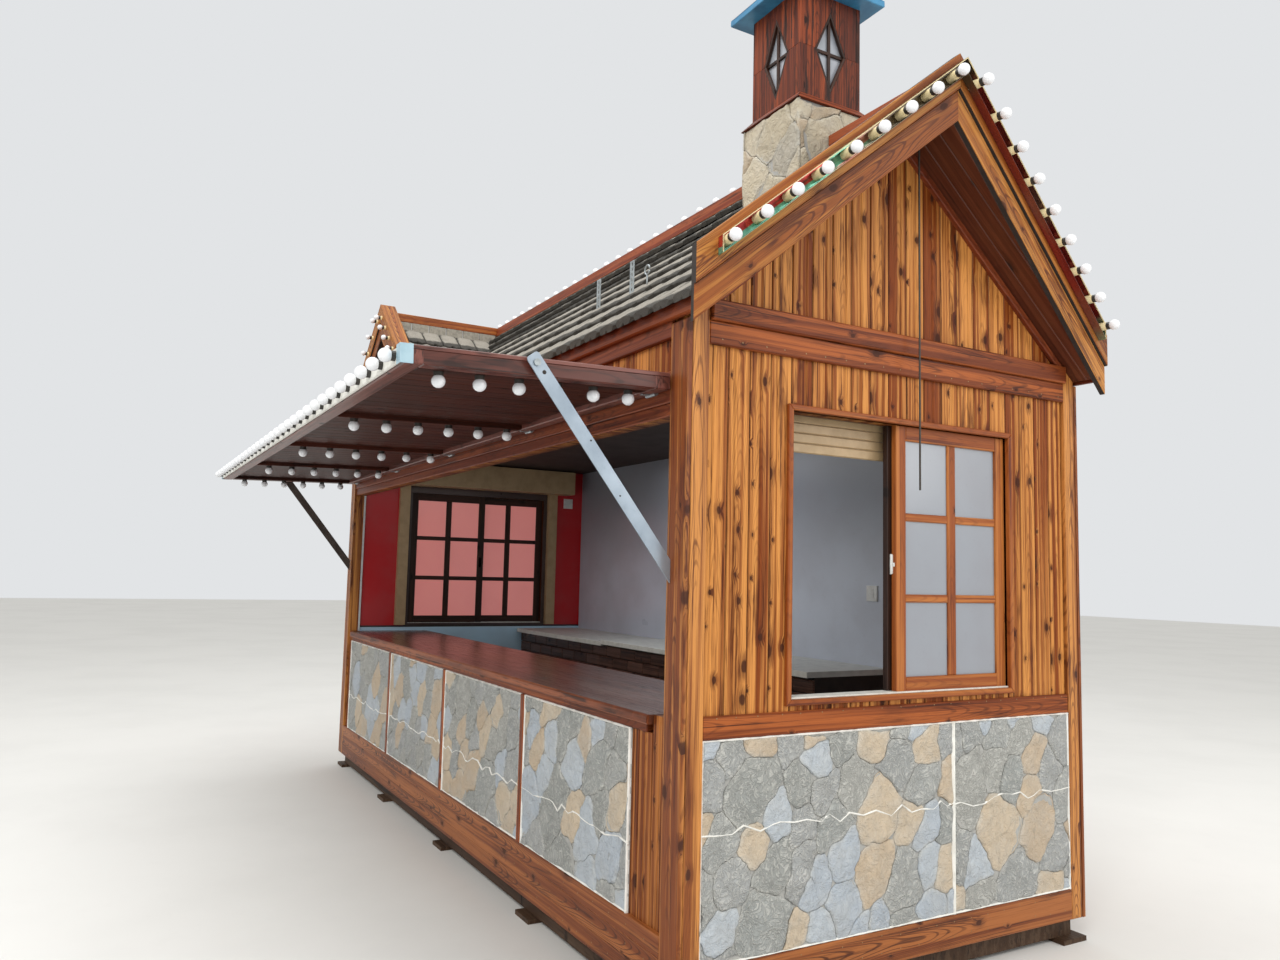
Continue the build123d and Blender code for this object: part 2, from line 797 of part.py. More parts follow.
eave_low_z = base_z + opening_head
dormer_rear_y = hut_centre_y - half_trough
with BuildPart() as dormer_body:
    with BuildSketch(cross_plane(dormer_rear_y)):
        gable_shape(dormer_half_width)
    extrude(amount=dormer_rear_y - dormer_y)
    with BuildSketch(cross_plane(dormer_rear_y)):
        gable_shape(dormer_half_width - dormer_wall_thickness)
    extrude(amount=dormer_rear_y - dormer_y - dormer_wall_thickness, mode=Mode.SUBTRACT)
    with BuildSketch(cross_plane(dormer_rear_y)):
        chevron(0, deck_plumb, dormer_edge)
    extrude(amount=dormer_rear_y - dormer_front_y)
    add(roof_mass.part, mode=Mode.SUBTRACT)
save(dormer_body, "dormer_body")

dormer_run = dormer_edge / dormer_courses
dormer_points = []
for course in range(dormer_courses):
    low_run = dormer_edge - course * dormer_run
    high_run = low_run - dormer_run
    dormer_points.append((-low_run, dormer_level(low_run, deck_plumb + tile_low)))
    dormer_points.append((-high_run, dormer_level(high_run, deck_plumb + tile_high)))
with BuildPart() as dormer_tiles:
    with BuildSketch(cross_plane(dormer_rear_y)):
        Polygon((-dormer_edge, dormer_level(dormer_edge, deck_plumb)), *dormer_points,
                (0, dormer_level(0, deck_plumb)), align=None)
        mirror(about=Plane.YZ)
    extrude(amount=dormer_rear_y - dormer_front_y)
    add(roof_mass.part, mode=Mode.SUBTRACT)
save(dormer_tiles, "dormer_tiles")

dormer_foot = -board_drop
with BuildPart() as dormer_bargeboards:
    with BuildSketch(cross_plane(dormer_front_y)):
        chevron(dormer_foot, dormer_foot + board_plumb, dormer_edge)
    extrude(amount=bargeboard_thickness)
    with BuildSketch(cross_plane(dormer_front_y - bargeboard_thickness)):
        chevron(dormer_foot + lower_board_plumb, dormer_foot + board_plumb, dormer_edge)
    extrude(amount=upper_board_proud)
save(dormer_bargeboards, "dormer_bargeboards")

with BuildPart() as dormer_ridge:
    with BuildSketch(cross_plane(dormer_rear_y)):
        with Locations((0, ridge_z)):
            Rectangle(ridge_board_thickness, deck_plumb * 2, align=(Align.CENTER, Align.MAX))
        Polygon((-dormer_edge, eave_low_z), *dormer_points, (0, eave_low_z), align=None,
                mode=Mode.SUBTRACT)
        mirror(about=Plane.YZ, mode=Mode.INTERSECT)
    extrude(amount=dormer_rear_y - dormer_front_y)
    add(roof_mass.part, mode=Mode.SUBTRACT)
save(dormer_ridge, "dormer_ridge")

dormer_strip = strip_high - strip_plumb / 2 + dormer_foot
dormer_bulb_face = dormer_front_y - bargeboard_thickness - upper_board_proud
ridge_bulb_x = chimney_x - half_stack - ridge_bulb_pitch / 3
ridge_bulb_count = int((ridge_bulb_x + end_x) / ridge_bulb_pitch) + 1
with BuildPart() as roof_bulbs:
    for place in range(ridge_bulb_count):
        with Locations((ridge_bulb_x - place * ridge_bulb_pitch, hut_centre_y, ridge_floor_z)):
            add(small_bulb)
    for side in (-1, 1):
        for place in range(dormer_bulbs_per_slope):
            run = (place + 0.5) * dormer_edge / dormer_bulbs_per_slope
            lamp_plane = Plane(origin=(dormer_x + side * run, dormer_bulb_face,
                                       dormer_level(run, dormer_strip)),
                               x_dir=(1, 0, 0), z_dir=(0, -1, 0))
            add(lamp_plane.location * small_bulb)
save(roof_bulbs, "roof_bulbs")

# Windows: a casing, two sliding sashes and a roller shutter inside each gable
hole_z = (hole_z0 + hole_z1) / 2
pane_width = (sash_width - 2 * sash_stile - (pane_columns - 1) * upright_bar) / pane_columns
pane_height = (hole_z1 - hole_z0 - 2 * sash_rail - (pane_rows - 1) * level_bar) / pane_rows
outer_sash_x = clad_x - sash_inset
inner_sash_x = outer_sash_x - sash_thickness - sash_gap
parked_y = hole_y1 - sash_width / 2
slid_y = parked_y - sash_slide_stop
opposite_y = hole_y0 + sash_width / 2


def sash_plane(x, y):
    """Plane on the outer face of a sash, centred on it."""
    return Plane(origin=(x, y, hole_z), x_dir=(0, 1, 0), z_dir=(1, 0, 0))


def pane_grid():
    """Places of the panes around the middle of a sash."""
    return GridLocations(pane_width + upright_bar, pane_height + level_bar,
                         pane_columns, pane_rows)


def add_sash(x, y):
    """Add one sash, cut through for its panes, to the open part."""
    with Locations(Location(sash_plane(x - sash_thickness / 2, y))):
        Box(sash_width, hole_z1 - hole_z0, sash_thickness)
        with pane_grid():
            Box(pane_width, pane_height, sash_thickness, mode=Mode.SUBTRACT)


def add_panes(x, y):
    """Add the panes of one sash to the open part."""
    with Locations(Location(sash_plane(x - sash_thickness / 2, y))):
        with pane_grid():
            Box(pane_width, pane_height, glass_thickness)


with BuildPart() as window_casings:
    for end in (-1, 1):
        block(end * clad_x, end * (clad_x + casing_thickness), window_y0, window_y1,
              window_z0, window_z1)
        block(end * clad_x, end * (clad_x + casing_thickness), hole_y0, hole_y1,
              hole_z0, hole_z1, mode=Mode.SUBTRACT)
save(window_casings, "window_casings")

with BuildPart() as window_sashes:
    add_sash(outer_sash_x, parked_y)
    add_sash(inner_sash_x, slid_y)
    add_sash(-outer_sash_x + sash_thickness, parked_y)
    add_sash(-inner_sash_x + sash_thickness, opposite_y)
save(window_sashes, "window_sashes")

with BuildPart() as window_panes:
    add_panes(outer_sash_x, parked_y)
    add_panes(inner_sash_x, slid_y)
    add_panes(-outer_sash_x + sash_thickness, parked_y)
    add_panes(-inner_sash_x + sash_thickness, opposite_y)
save(window_panes, "window_panes")

# Linings, ceiling and the shutters that hang on the linings
lining_x = inner_x - lining_thickness
lining_back_y = inner_back_y - lining_thickness
with BuildPart() as wall_linings:
    for end in (-1, 1):
        block(end * lining_x, end * inner_x, bay_front_y, bay_back_y, floor_z, ceiling_z)
        block(end * lining_x, end * inner_x, hole_y0, hole_y1, hole_z0, hole_z1,
              mode=Mode.SUBTRACT)
    block(-bay_x, bay_x, lining_back_y, inner_back_y, floor_z, ceiling_z)
    block(door_x0, door_x1, lining_back_y, inner_back_y, floor_z, door_top_z,
          mode=Mode.SUBTRACT)
save(wall_linings, "wall_linings")

with BuildPart() as ceiling:
    block(-bay_x, bay_x, inner_front_y, inner_back_y, ceiling_z, ceiling_z + ceiling_thickness)
    block(-inner_x, inner_x, bay_front_y, bay_back_y, ceiling_z, ceiling_z + ceiling_thickness)
save(ceiling, "ceiling")

guide_y0 = hole_y0 - guide_clearance
guide_y1 = hole_y1 + guide_clearance
box_z0 = base_z + shutter_box_bottom
curtain_x = lining_x - guide_depth / 2
with BuildPart() as roller_shutters:
    for end in (-1, 1):
        block(end * (lining_x - shutter_box_depth), end * lining_x, guide_y0 - guide_width,
              guide_y1 + shutter_box_extra, box_z0, box_z0 + shutter_box_height)
        for near_y, far_y in ((guide_y0, guide_y0 - guide_width),
                              (guide_y1, guide_y1 + guide_width)):
            block(end * (lining_x - guide_depth), end * lining_x, near_y, far_y,
                  base_z + guide_bottom, box_z0)
save(roller_shutters, "roller_shutters")

curtain_z = base_z + curtain_bottom
slat_count = int((box_z0 - curtain_z) / slat_height) + 1
with BuildPart() as shutter_curtain:
    block(curtain_x - curtain_thickness / 2, curtain_x + curtain_thickness / 2,
          guide_y0, guide_y1, curtain_z, box_z0)
    for slat in range(1, slat_count):
        for face in (-1, 1):
            with Locations(Location((curtain_x + face * curtain_thickness / 2, window_y,
                                     curtain_z + slat * slat_height), (0, 45, 0))):
                Box(slat_groove, guide_y1 - guide_y0, slat_groove, mode=Mode.SUBTRACT)
save(shutter_curtain, "shutter_curtain")

# Worktop on its cabinet along the back wall, in two levels
worktop_z = base_z + worktop_height
worktop_front_y = lining_back_y - worktop_depth
cabinet_front_y = worktop_front_y + worktop_overhang
worktop_x1 = end_x - worktop_start_from_end
step_x = end_x - worktop_step_from_end
with BuildPart() as worktop:
    block(step_x, worktop_x1, worktop_front_y, lining_back_y,
          worktop_z - worktop_thickness, worktop_z)
    block(-bay_x, step_x, worktop_front_y, lining_back_y,
          worktop_z - worktop_thickness - worktop_step, worktop_z - worktop_step)
save(worktop, "worktop")

cabinet_top_z = worktop_z - worktop_thickness - worktop_step
cabinet_bay = (worktop_x1 + bay_x - cabinet_panel) / cabinet_bays
with BuildPart() as cabinet:
    block(-bay_x, worktop_x1, cabinet_front_y, lining_back_y, floor_z, cabinet_top_z)
    block(step_x, worktop_x1, cabinet_front_y, lining_back_y, cabinet_top_z,
          cabinet_top_z + worktop_step)
    for bay in range(cabinet_bays):
        bay_start = -bay_x + cabinet_panel + bay * cabinet_bay
        block(bay_start, bay_start + cabinet_bay - cabinet_panel, cabinet_front_y + cabinet_panel,
              lining_back_y, floor_z + cabinet_panel, cabinet_top_z - cabinet_panel,
              mode=Mode.SUBTRACT)
save(cabinet, "cabinet")

# Staff door in the back wall, closed, in its frame
with BuildPart() as back_door:
    block(door_x0 + door_gap, door_x1 - door_gap, clad_back_y - door_thickness, clad_back_y,
          base_z, door_top_z - door_gap)
    block(door_x0 - door_frame, door_x1 + door_frame, clad_back_y, back_y,
          base_z, door_top_z + door_frame)
    block(door_x0, door_x1, clad_back_y, back_y, base_z, door_top_z, mode=Mode.SUBTRACT)
save(back_door, "back_door")

# Hatch, in its own frame: X along the hut, Y back to the hinge line, Z up from its underside
hinge_y = front_y - hinge_offset
hinge_z = base_z + hatch_height
hatch_x = end_x - hatch_side_gap
hatch_plane = Plane(origin=(0, hinge_y, hinge_z), x_dir=(1, 0, 0),
                    z_dir=(0, -sin(tilt), cos(tilt)))
inner_hatch_x = hatch_x - hatch_beam_width
hinge_step = 2 * (inner_hatch_x - hinge_length) / (hinge_count - 1)
hinge_places = [-inner_hatch_x + hinge_length + place * hinge_step for place in range(hinge_count)]
knuckle = (hinge_length - 2 * knuckle_gap) / 3


def along_hinge(radius, x0, x1, mode=Mode.ADD):
    """Add a round piece on the hinge line between two places."""
    with Locations(Location(((x0 + x1) / 2, 0, 0), (0, 90, 0))):
        return Cylinder(radius, x1 - x0, mode=mode)


with BuildPart(hatch_plane) as hatch_frame:
    block(-hatch_x, hatch_x, -hatch_depth, hatch_rear_lap, 0, hatch_thickness)
    block(-inner_hatch_x, inner_hatch_x, hatch_beam_width - hatch_depth,
          hatch_rear_lap - hatch_beam_width, 0, hatch_thickness, mode=Mode.SUBTRACT)
    for place in hinge_places:
        along_hinge(knuckle_radius + knuckle_notch, place - hinge_length / 2 - knuckle_notch,
                    place + hinge_length / 2 + knuckle_notch, mode=Mode.SUBTRACT)
save(hatch_frame, "hatch_frame")

panel_front = hatch_beam_width - hatch_depth
panel_rear = hatch_rear_lap - hatch_beam_width
row_reach = inner_hatch_x - hatch_batten_width / 2
row_places = [row_reach * (2 * row / (hatch_rows - 1) - 1) for row in range(hatch_rows)]
with BuildPart(hatch_plane) as hatch_lining:
    block(-inner_hatch_x, inner_hatch_x, panel_front, panel_rear,
          hatch_panel_recess, hatch_panel_recess + hatch_panel_thickness)
    for place in row_places:
        block(place - hatch_batten_width / 2, place + hatch_batten_width / 2,
              panel_front, panel_rear, 0, hatch_panel_recess)
save(hatch_lining, "hatch_lining")

with BuildPart(hatch_plane) as hatch_cladding:
    block(-inner_hatch_x, inner_hatch_x, panel_front, panel_rear,
          hatch_thickness - hatch_cladding_thickness, hatch_thickness)
save(hatch_cladding, "hatch_cladding")

with BuildPart(hatch_plane) as hatch_edge_strip:
    block(-hatch_x, hatch_x, -hatch_depth - hatch_strip_thickness, -hatch_depth,
          0, hatch_thickness)
save(hatch_edge_strip, "hatch_edge_strip")

cap_front = hatch_depth + hatch_strip_thickness
with BuildPart(hatch_plane) as hatch_corner_caps:
    for end in (-1, 1):
        block(end * hatch_x, end * (hatch_x + hatch_cap_thickness),
              -cap_front - hatch_cap_thickness, hatch_cap_width - cap_front, 0, hatch_thickness)
        block(end * (hatch_x - hatch_cap_width), end * hatch_x,
              -cap_front - hatch_cap_thickness, -cap_front, 0, hatch_thickness)
save(hatch_corner_caps, "hatch_corner_caps")

front_bulb_count = int((2 * hatch_x - 2 * front_bulb_margin) / front_bulb_pitch) + 1
front_bulb_start = -(front_bulb_count - 1) * front_bulb_pitch / 2
with BuildPart() as hatch_bulbs:
    for place in range(front_bulb_count):
        seat = Plane(origin=(front_bulb_start + place * front_bulb_pitch, -cap_front,
                             hatch_thickness / 2), x_dir=(1, 0, 0), z_dir=(0, -1, 0))
        add(hatch_plane.location * seat.location * small_bulb)
    for place in row_places:
        for lamp in range(hatch_row_bulbs):
            seat = Plane(origin=(place, -hatch_first_bulb - lamp * hatch_bulb_pitch, 0),
                         x_dir=(1, 0, 0), z_dir=(0, 0, -1))
            add(hatch_plane.location * seat.location * small_bulb)
save(hatch_bulbs, "hatch_bulbs")

# Hinges: the pin and outer knuckles stay on the head beam, the middle one swings
with BuildPart() as hinge_brackets:
    for place in hinge_places:
        with Locations((place, hinge_y, hinge_z)):
            for end in (-1, 1):
                with Locations((end * (knuckle + knuckle_gap), 0, 0)):
                    Cylinder(knuckle_radius, knuckle, rotation=(0, 90, 0))
                    Box(knuckle, hinge_offset, knuckle_radius,
                        align=(Align.CENTER, Align.MIN, Align.MIN))
            Cylinder(pin_radius, hinge_length, rotation=(0, 90, 0))
        block(place - hinge_length / 2, place + hinge_length / 2, front_y - hinge_leaf, front_y,
              hinge_z, hinge_z + hinge_leaf_reach)
save(hinge_brackets, "hinge_brackets")


# Struts: flat bars from a bolt in the hatch's side to the front of the corner posts
bolt_y = hinge_y - strut_bolt_distance * cos(tilt) - strut_bolt_height * sin(tilt)
bolt_z = hinge_z - strut_bolt_distance * sin(tilt) + strut_bolt_height * cos(tilt)
foot_edge_y = front_y - strut_foot_clearance
foot_centre_z = base_z + strut_foot_height
strut_length = hypot(foot_edge_y - bolt_y, foot_centre_z - bolt_z)
strut_lean = degrees(atan2(foot_edge_y - bolt_y, bolt_z - foot_centre_z))
strut_x = hatch_x + strut_plane_gap
with BuildPart() as strut_right:
    with BuildSketch(Plane(origin=(strut_x, bolt_y, bolt_z), x_dir=(0, 1, 0), z_dir=(1, 0, 0))):
        with Locations(Location((0, 0, 0), (0, 0, strut_lean))):
            with Locations((0, -strut_length / 2)):
                Rectangle(strut_width, strut_length + 2 * strut_width)
            with Locations((0, strut_end_margin)):
                Rectangle(2 * strut_width, 2 * strut_width, align=(Align.CENTER, Align.MIN),
                          mode=Mode.SUBTRACT)
        with Locations((foot_edge_y - bolt_y, 0)):
            Rectangle(strut_length, 4 * strut_length, align=(Align.MIN, Align.CENTER),
                      mode=Mode.SUBTRACT)
        Circle(bolt_radius + pin_clearance, mode=Mode.SUBTRACT)
    extrude(amount=strut_thickness)
    fillet(edges().filter_by(Axis.X).group_by(Axis.Z)[-2:], radius=strut_width / 4)
save(strut_right, "strut_right")

with BuildPart() as strut_left:
    mirror(strut_right.part, about=Plane.YZ)
save(strut_left, "strut_left")

with BuildPart(hatch_plane) as hatch_fittings:
    for place in hinge_places:
        along_hinge(knuckle_radius, place - knuckle / 2, place + knuckle / 2)
        block(place - knuckle / 2, place + knuckle / 2, -hinge_leaf_reach, 0, -hinge_leaf, 0)
        along_hinge(pin_radius + pin_clearance, place - knuckle, place + knuckle,
                    mode=Mode.SUBTRACT)
    for end in (-1, 1):
        bolt_turn = (0, end * 90, 0)
        boss_length = strut_plane_gap - pin_clearance
        head_x = hatch_x + strut_plane_gap + strut_thickness + pin_clearance
        with Locations(Location((end * hatch_x, -strut_bolt_distance, strut_bolt_height),
                                bolt_turn)):
            Cylinder(bolt_radius * 2, boss_length, align=(Align.CENTER, Align.CENTER, Align.MIN))
            Cylinder(bolt_radius, head_x + bolt_head - hatch_x,
                     align=(Align.CENTER, Align.CENTER, Align.MIN))
        with Locations(Location((end * head_x, -strut_bolt_distance, strut_bolt_height),
                                bolt_turn)):
            Cylinder(bolt_radius * 2, bolt_head, align=(Align.CENTER, Align.CENTER, Align.MIN))
save(hatch_fittings, "hatch_fittings")

# Perforated uprights that stand on the front slope
with BuildPart() as roof_uprights:
    for from_end in upright_from_end:
        upright_x = end_x - from_end
        upright_y = hut_centre_y - upright_from_ridge
        block(upright_x - upright_width / 2, upright_x + upright_width / 2,
              upright_y - upright_thickness, upright_y, soffit_level(upright_y),
              deck_level(upright_y) + upright_height)
    add(roof_mass.part, mode=Mode.SUBTRACT)
save(roof_uprights, "roof_uprights")

# Cable that hangs from the soffit in front of the gable
cable_x = end_x + cable_from_wall
with BuildPart() as hanging_cable:
    with Locations((cable_x, hut_centre_y, base_z + cable_end)):
        Cylinder(cable_diameter / 2, soffit_apex - cable_end,
                 align=(Align.CENTER, Align.CENTER, Align.MIN))
    with BuildSketch(Plane.YZ):
        Polygon((hut_centre_y - splay_run, soffit_level(foot_y)), (hut_centre_y, apex_z),
                (hut_centre_y + splay_run, soffit_level(foot_y)),
                (hut_centre_y, apex_z + splay_run), align=None)
    extrude(amount=end_x + apex_overhang, mode=Mode.SUBTRACT)
save(hanging_cable, "hanging_cable")
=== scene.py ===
import math
import random

import bmesh
import bpy
import numpy as np
from mathutils import Matrix, Vector, noise


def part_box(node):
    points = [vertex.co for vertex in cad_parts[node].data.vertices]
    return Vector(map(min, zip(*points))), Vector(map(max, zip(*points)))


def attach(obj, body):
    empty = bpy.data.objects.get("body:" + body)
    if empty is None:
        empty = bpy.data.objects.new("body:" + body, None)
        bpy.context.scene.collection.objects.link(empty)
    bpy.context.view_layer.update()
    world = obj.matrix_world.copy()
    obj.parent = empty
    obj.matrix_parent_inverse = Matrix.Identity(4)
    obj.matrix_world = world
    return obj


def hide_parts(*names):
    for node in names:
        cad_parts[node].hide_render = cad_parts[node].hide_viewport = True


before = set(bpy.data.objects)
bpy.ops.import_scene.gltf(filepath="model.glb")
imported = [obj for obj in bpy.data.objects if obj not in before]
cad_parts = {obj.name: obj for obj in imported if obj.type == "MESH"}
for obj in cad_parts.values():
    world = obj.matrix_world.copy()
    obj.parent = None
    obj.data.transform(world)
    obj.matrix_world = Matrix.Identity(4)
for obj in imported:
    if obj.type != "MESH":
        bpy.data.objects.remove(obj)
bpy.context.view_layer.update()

scene = bpy.context.scene

# Sizes in metres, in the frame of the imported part
centre_y = 0.49208
half_depth = 1.05
front_y, back_y = centre_y - half_depth, centre_y + half_depth
end_x = 2.515
base_z = 0.100
proud = 0.018
wall_core, lining = 0.070, 0.010
bay_x = end_x - 0.117
bay_front_y, bay_back_y = front_y + 0.090, back_y - 0.090
clad_x = end_x - proud
clad_front_y, clad_back_y = front_y + proud, back_y - proud
side_clad = half_depth - proud
inner_x = clad_x - wall_core
inner_front_y, inner_back_y = clad_front_y + wall_core, clad_back_y - wall_core
room_x, room_back_y = inner_x - lining, inner_back_y - lining
gable_skirt_z, side_skirt_z = 0.226, 0.314
rail_z, rail_top_z = 0.976, 1.056
counter_z, counter_under_z = 1.040, 0.974
counter_x0, counter_x1 = -end_x + 0.240, end_x - 0.215
opening_head_z = 2.105
head_beam_height = 0.160
cornice_z0, cornice_z1, cornice_z2 = 2.356, 2.440, 2.516
fascia_z0, fascia_z1, fascia_z2 = 2.386, 2.445, 2.502
fascia_proud = 0.022
apex_z = 3.319
roof_angle = math.radians(40)
pitch_tan = math.tan(roof_angle)
deck_plumb = 0.085
splay_run = 1.100
splay = math.atan2(0.264 - 0.110, splay_run)
board_run = splay_run / math.cos(splay)
foot_x = end_x + 0.110
foot_y = centre_y - splay_run
board_climb = pitch_tan * splay_run / board_run
lower_board, upper_board = 0.127, 0.141
board_plumb = lower_board + upper_board
board_thickness, upper_proud = 0.025, 0.015
strip_below = 0.040
window_y, window_half, casing = centre_y + 0.007, 0.607, 0.022
window_y0, window_y1 = window_y - window_half, window_y + window_half
window_z0, window_z1 = 1.075, 2.180
hole_y0, hole_y1 = window_y0 + casing, window_y1 - casing
hole_z0, hole_z1 = window_z0 + casing, window_z1 - casing
door_x0, door_x1, door_top_z = 1.478, 2.198, 2.050
door_trim_x0, door_trim_x1 = door_x0 - 0.05, door_x1 + 0.05
ridge_z = 3.533
chimney_x = end_x - 0.663
stack_side, stack_z = 0.430, 3.675
lantern_side, lantern_height = 0.358, 0.545
dormer_x = -end_x + 0.450
dormer_y = front_y + 0.230
dormer_front_y = dormer_y - 0.145
dormer_half, dormer_edge = 0.450, 0.500
hinge_y, hinge_z = front_y - 0.012, 2.192
hatch_x, hatch_depth, hatch_thickness = end_x - 0.104, 0.950, 0.062
hatch_tilt = math.radians(1.6)
ceiling_z = 2.420
bulb_collar, bulb_radius = 0.026, 0.023
cross_lamp_scale = 0.85


def soffit_level(y):
    """Underside of the roof at one place across the hut."""
    return apex_z - pitch_tan * abs(y - centre_y)


board_foot_z = soffit_level(foot_y) - 0.004


def paint(red, green, blue):
    """A colour as seen, from 0 to 255, as Blender's linear colour."""
    return tuple(((v / 255) / 12.92 if v <= 10.31 else ((v / 255 + 0.055) / 1.055) ** 2.4)
                 for v in (red, green, blue)) + (1.0,)


# Finishes

class Value:
    """A number or vector that varies over a surface, with arithmetic."""

    def __init__(self, finish, socket):
        self.finish, self.socket = finish, socket

    def maths(self, operation, *others):
        made = self.finish.node("ShaderNodeMath", {"operation": operation},
                                dict(enumerate(others)))
        return Value(self.finish, made.outputs[0])

    def __add__(self, other): return self.maths("ADD", self, other)
    def __radd__(self, other): return self.maths("ADD", other, self)
    def __sub__(self, other): return self.maths("SUBTRACT", self, other)
    def __rsub__(self, other): return self.maths("SUBTRACT", other, self)
    def __mul__(self, other): return self.maths("MULTIPLY", self, other)
    def __rmul__(self, other): return self.maths("MULTIPLY", other, self)
    def __truediv__(self, other): return self.maths("DIVIDE", self, other)
    def sine(self): return self.maths("SINE", self)
    def size(self): return self.maths("ABSOLUTE", self)
    def over(self, level): return self.maths("GREATER_THAN", self, level)
    def highest(self, other): return self.maths("MAXIMUM", self, other)
    def lowest(self, other): return self.maths("MINIMUM", self, other)

    def ramp(self, low, high, start=0.0, stop=1.0):
        """Goes smoothly from start to stop while the value goes from low to high."""
        made = self.finish.node("ShaderNodeMapRange", {"interpolation_type": "SMOOTHSTEP"},
                                {0: self, 1: low, 2: high, 3: start, 4: stop})
        return Value(self.finish, made.outputs[0])


class Finish:
    """One material, built on a single shader."""

    def __init__(self, name, roughness=0.5, metallic=0.0, coat=0.0, coat_roughness=0.2,
                 specular=0.5):
        self.material = bpy.data.materials.new(name)
        self.material.use_nodes = True
        self.tree = self.material.node_tree
        self.tree.nodes.clear()
        output = self.tree.nodes.new("ShaderNodeOutputMaterial")
        self.shader = self.node("ShaderNodeBsdfPrincipled", {}, {
            "Roughness": roughness, "Metallic": metallic, "Coat Weight": coat,
            "Coat Roughness": coat_roughness, "Specular IOR Level": specular})
        self.tree.links.new(self.shader.outputs[0], output.inputs[0])

    def node(self, kind, settings, inputs):
        """A node of that kind, with its settings first and then its sockets."""
        made = self.tree.nodes.new(kind)
        for key, setting in settings.items():
            if key == "stops":
                ramp = made.color_ramp
                while len(ramp.elements) < len(setting):
                    ramp.elements.new(0.5)
                for element, (place, colour) in zip(ramp.elements, setting):
                    element.position, element.color = place, colour
            else:
                setattr(made, key, setting)
        for key, value in inputs.items():
            if isinstance(value, Value):
                self.tree.links.new(value.socket, made.inputs[key])
            else:
                made.inputs[key].default_value = value
        return made

    def value(self, kind, settings, inputs, output=0):
        return Value(self, self.node(kind, settings, inputs).outputs[output])

    def object_place(self):
        return self.value("ShaderNodeTexCoord", {}, {}, "Object")

    def attribute(self, name, output="Vector"):
        return self.value("ShaderNodeAttribute", {"attribute_name": name}, {}, output)

    def apart(self, vector):
        made = self.node("ShaderNodeSeparateXYZ", {}, {0: vector})
        return [Value(self, socket) for socket in made.outputs]

    def together(self, x, y, z):
        return self.value("ShaderNodeCombineXYZ", {}, {0: x, 1: y, 2: z})

    def noise(self, place, scale, detail, rough=0.5):
        return self.value("ShaderNodeTexNoise", {}, {
            "Vector": place, "Scale": scale, "Detail": detail, "Roughness": rough})

    def mix(self, factor, first, second):
        made = self.node("ShaderNodeMix", {"data_type": "RGBA"},
                         {0: factor, 6: first, 7: second})
        return Value(self, made.outputs[2])

    def colour(self, value):
        self.tree.links.new(value.socket, self.shader.inputs["Base Color"])

    def rough(self, value):
        self.tree.links.new(value.socket, self.shader.inputs["Roughness"])

    def bump(self, height, distance=0.001, strength=0.6):
        made = self.value("ShaderNodeBump", {}, {"Height": height, "Distance": distance,
                                                 "Strength": strength})
        self.tree.links.new(made.socket, self.shader.inputs["Normal"])


# How much of its red, green and blue each tone of the timber keeps
pale_warmth = (0.86, 0.78, 0.66, 1)
middle_warmth = (0.86, 0.68, 0.46, 1)
dark_warmth = (0.86, 0.66, 0.42, 1)


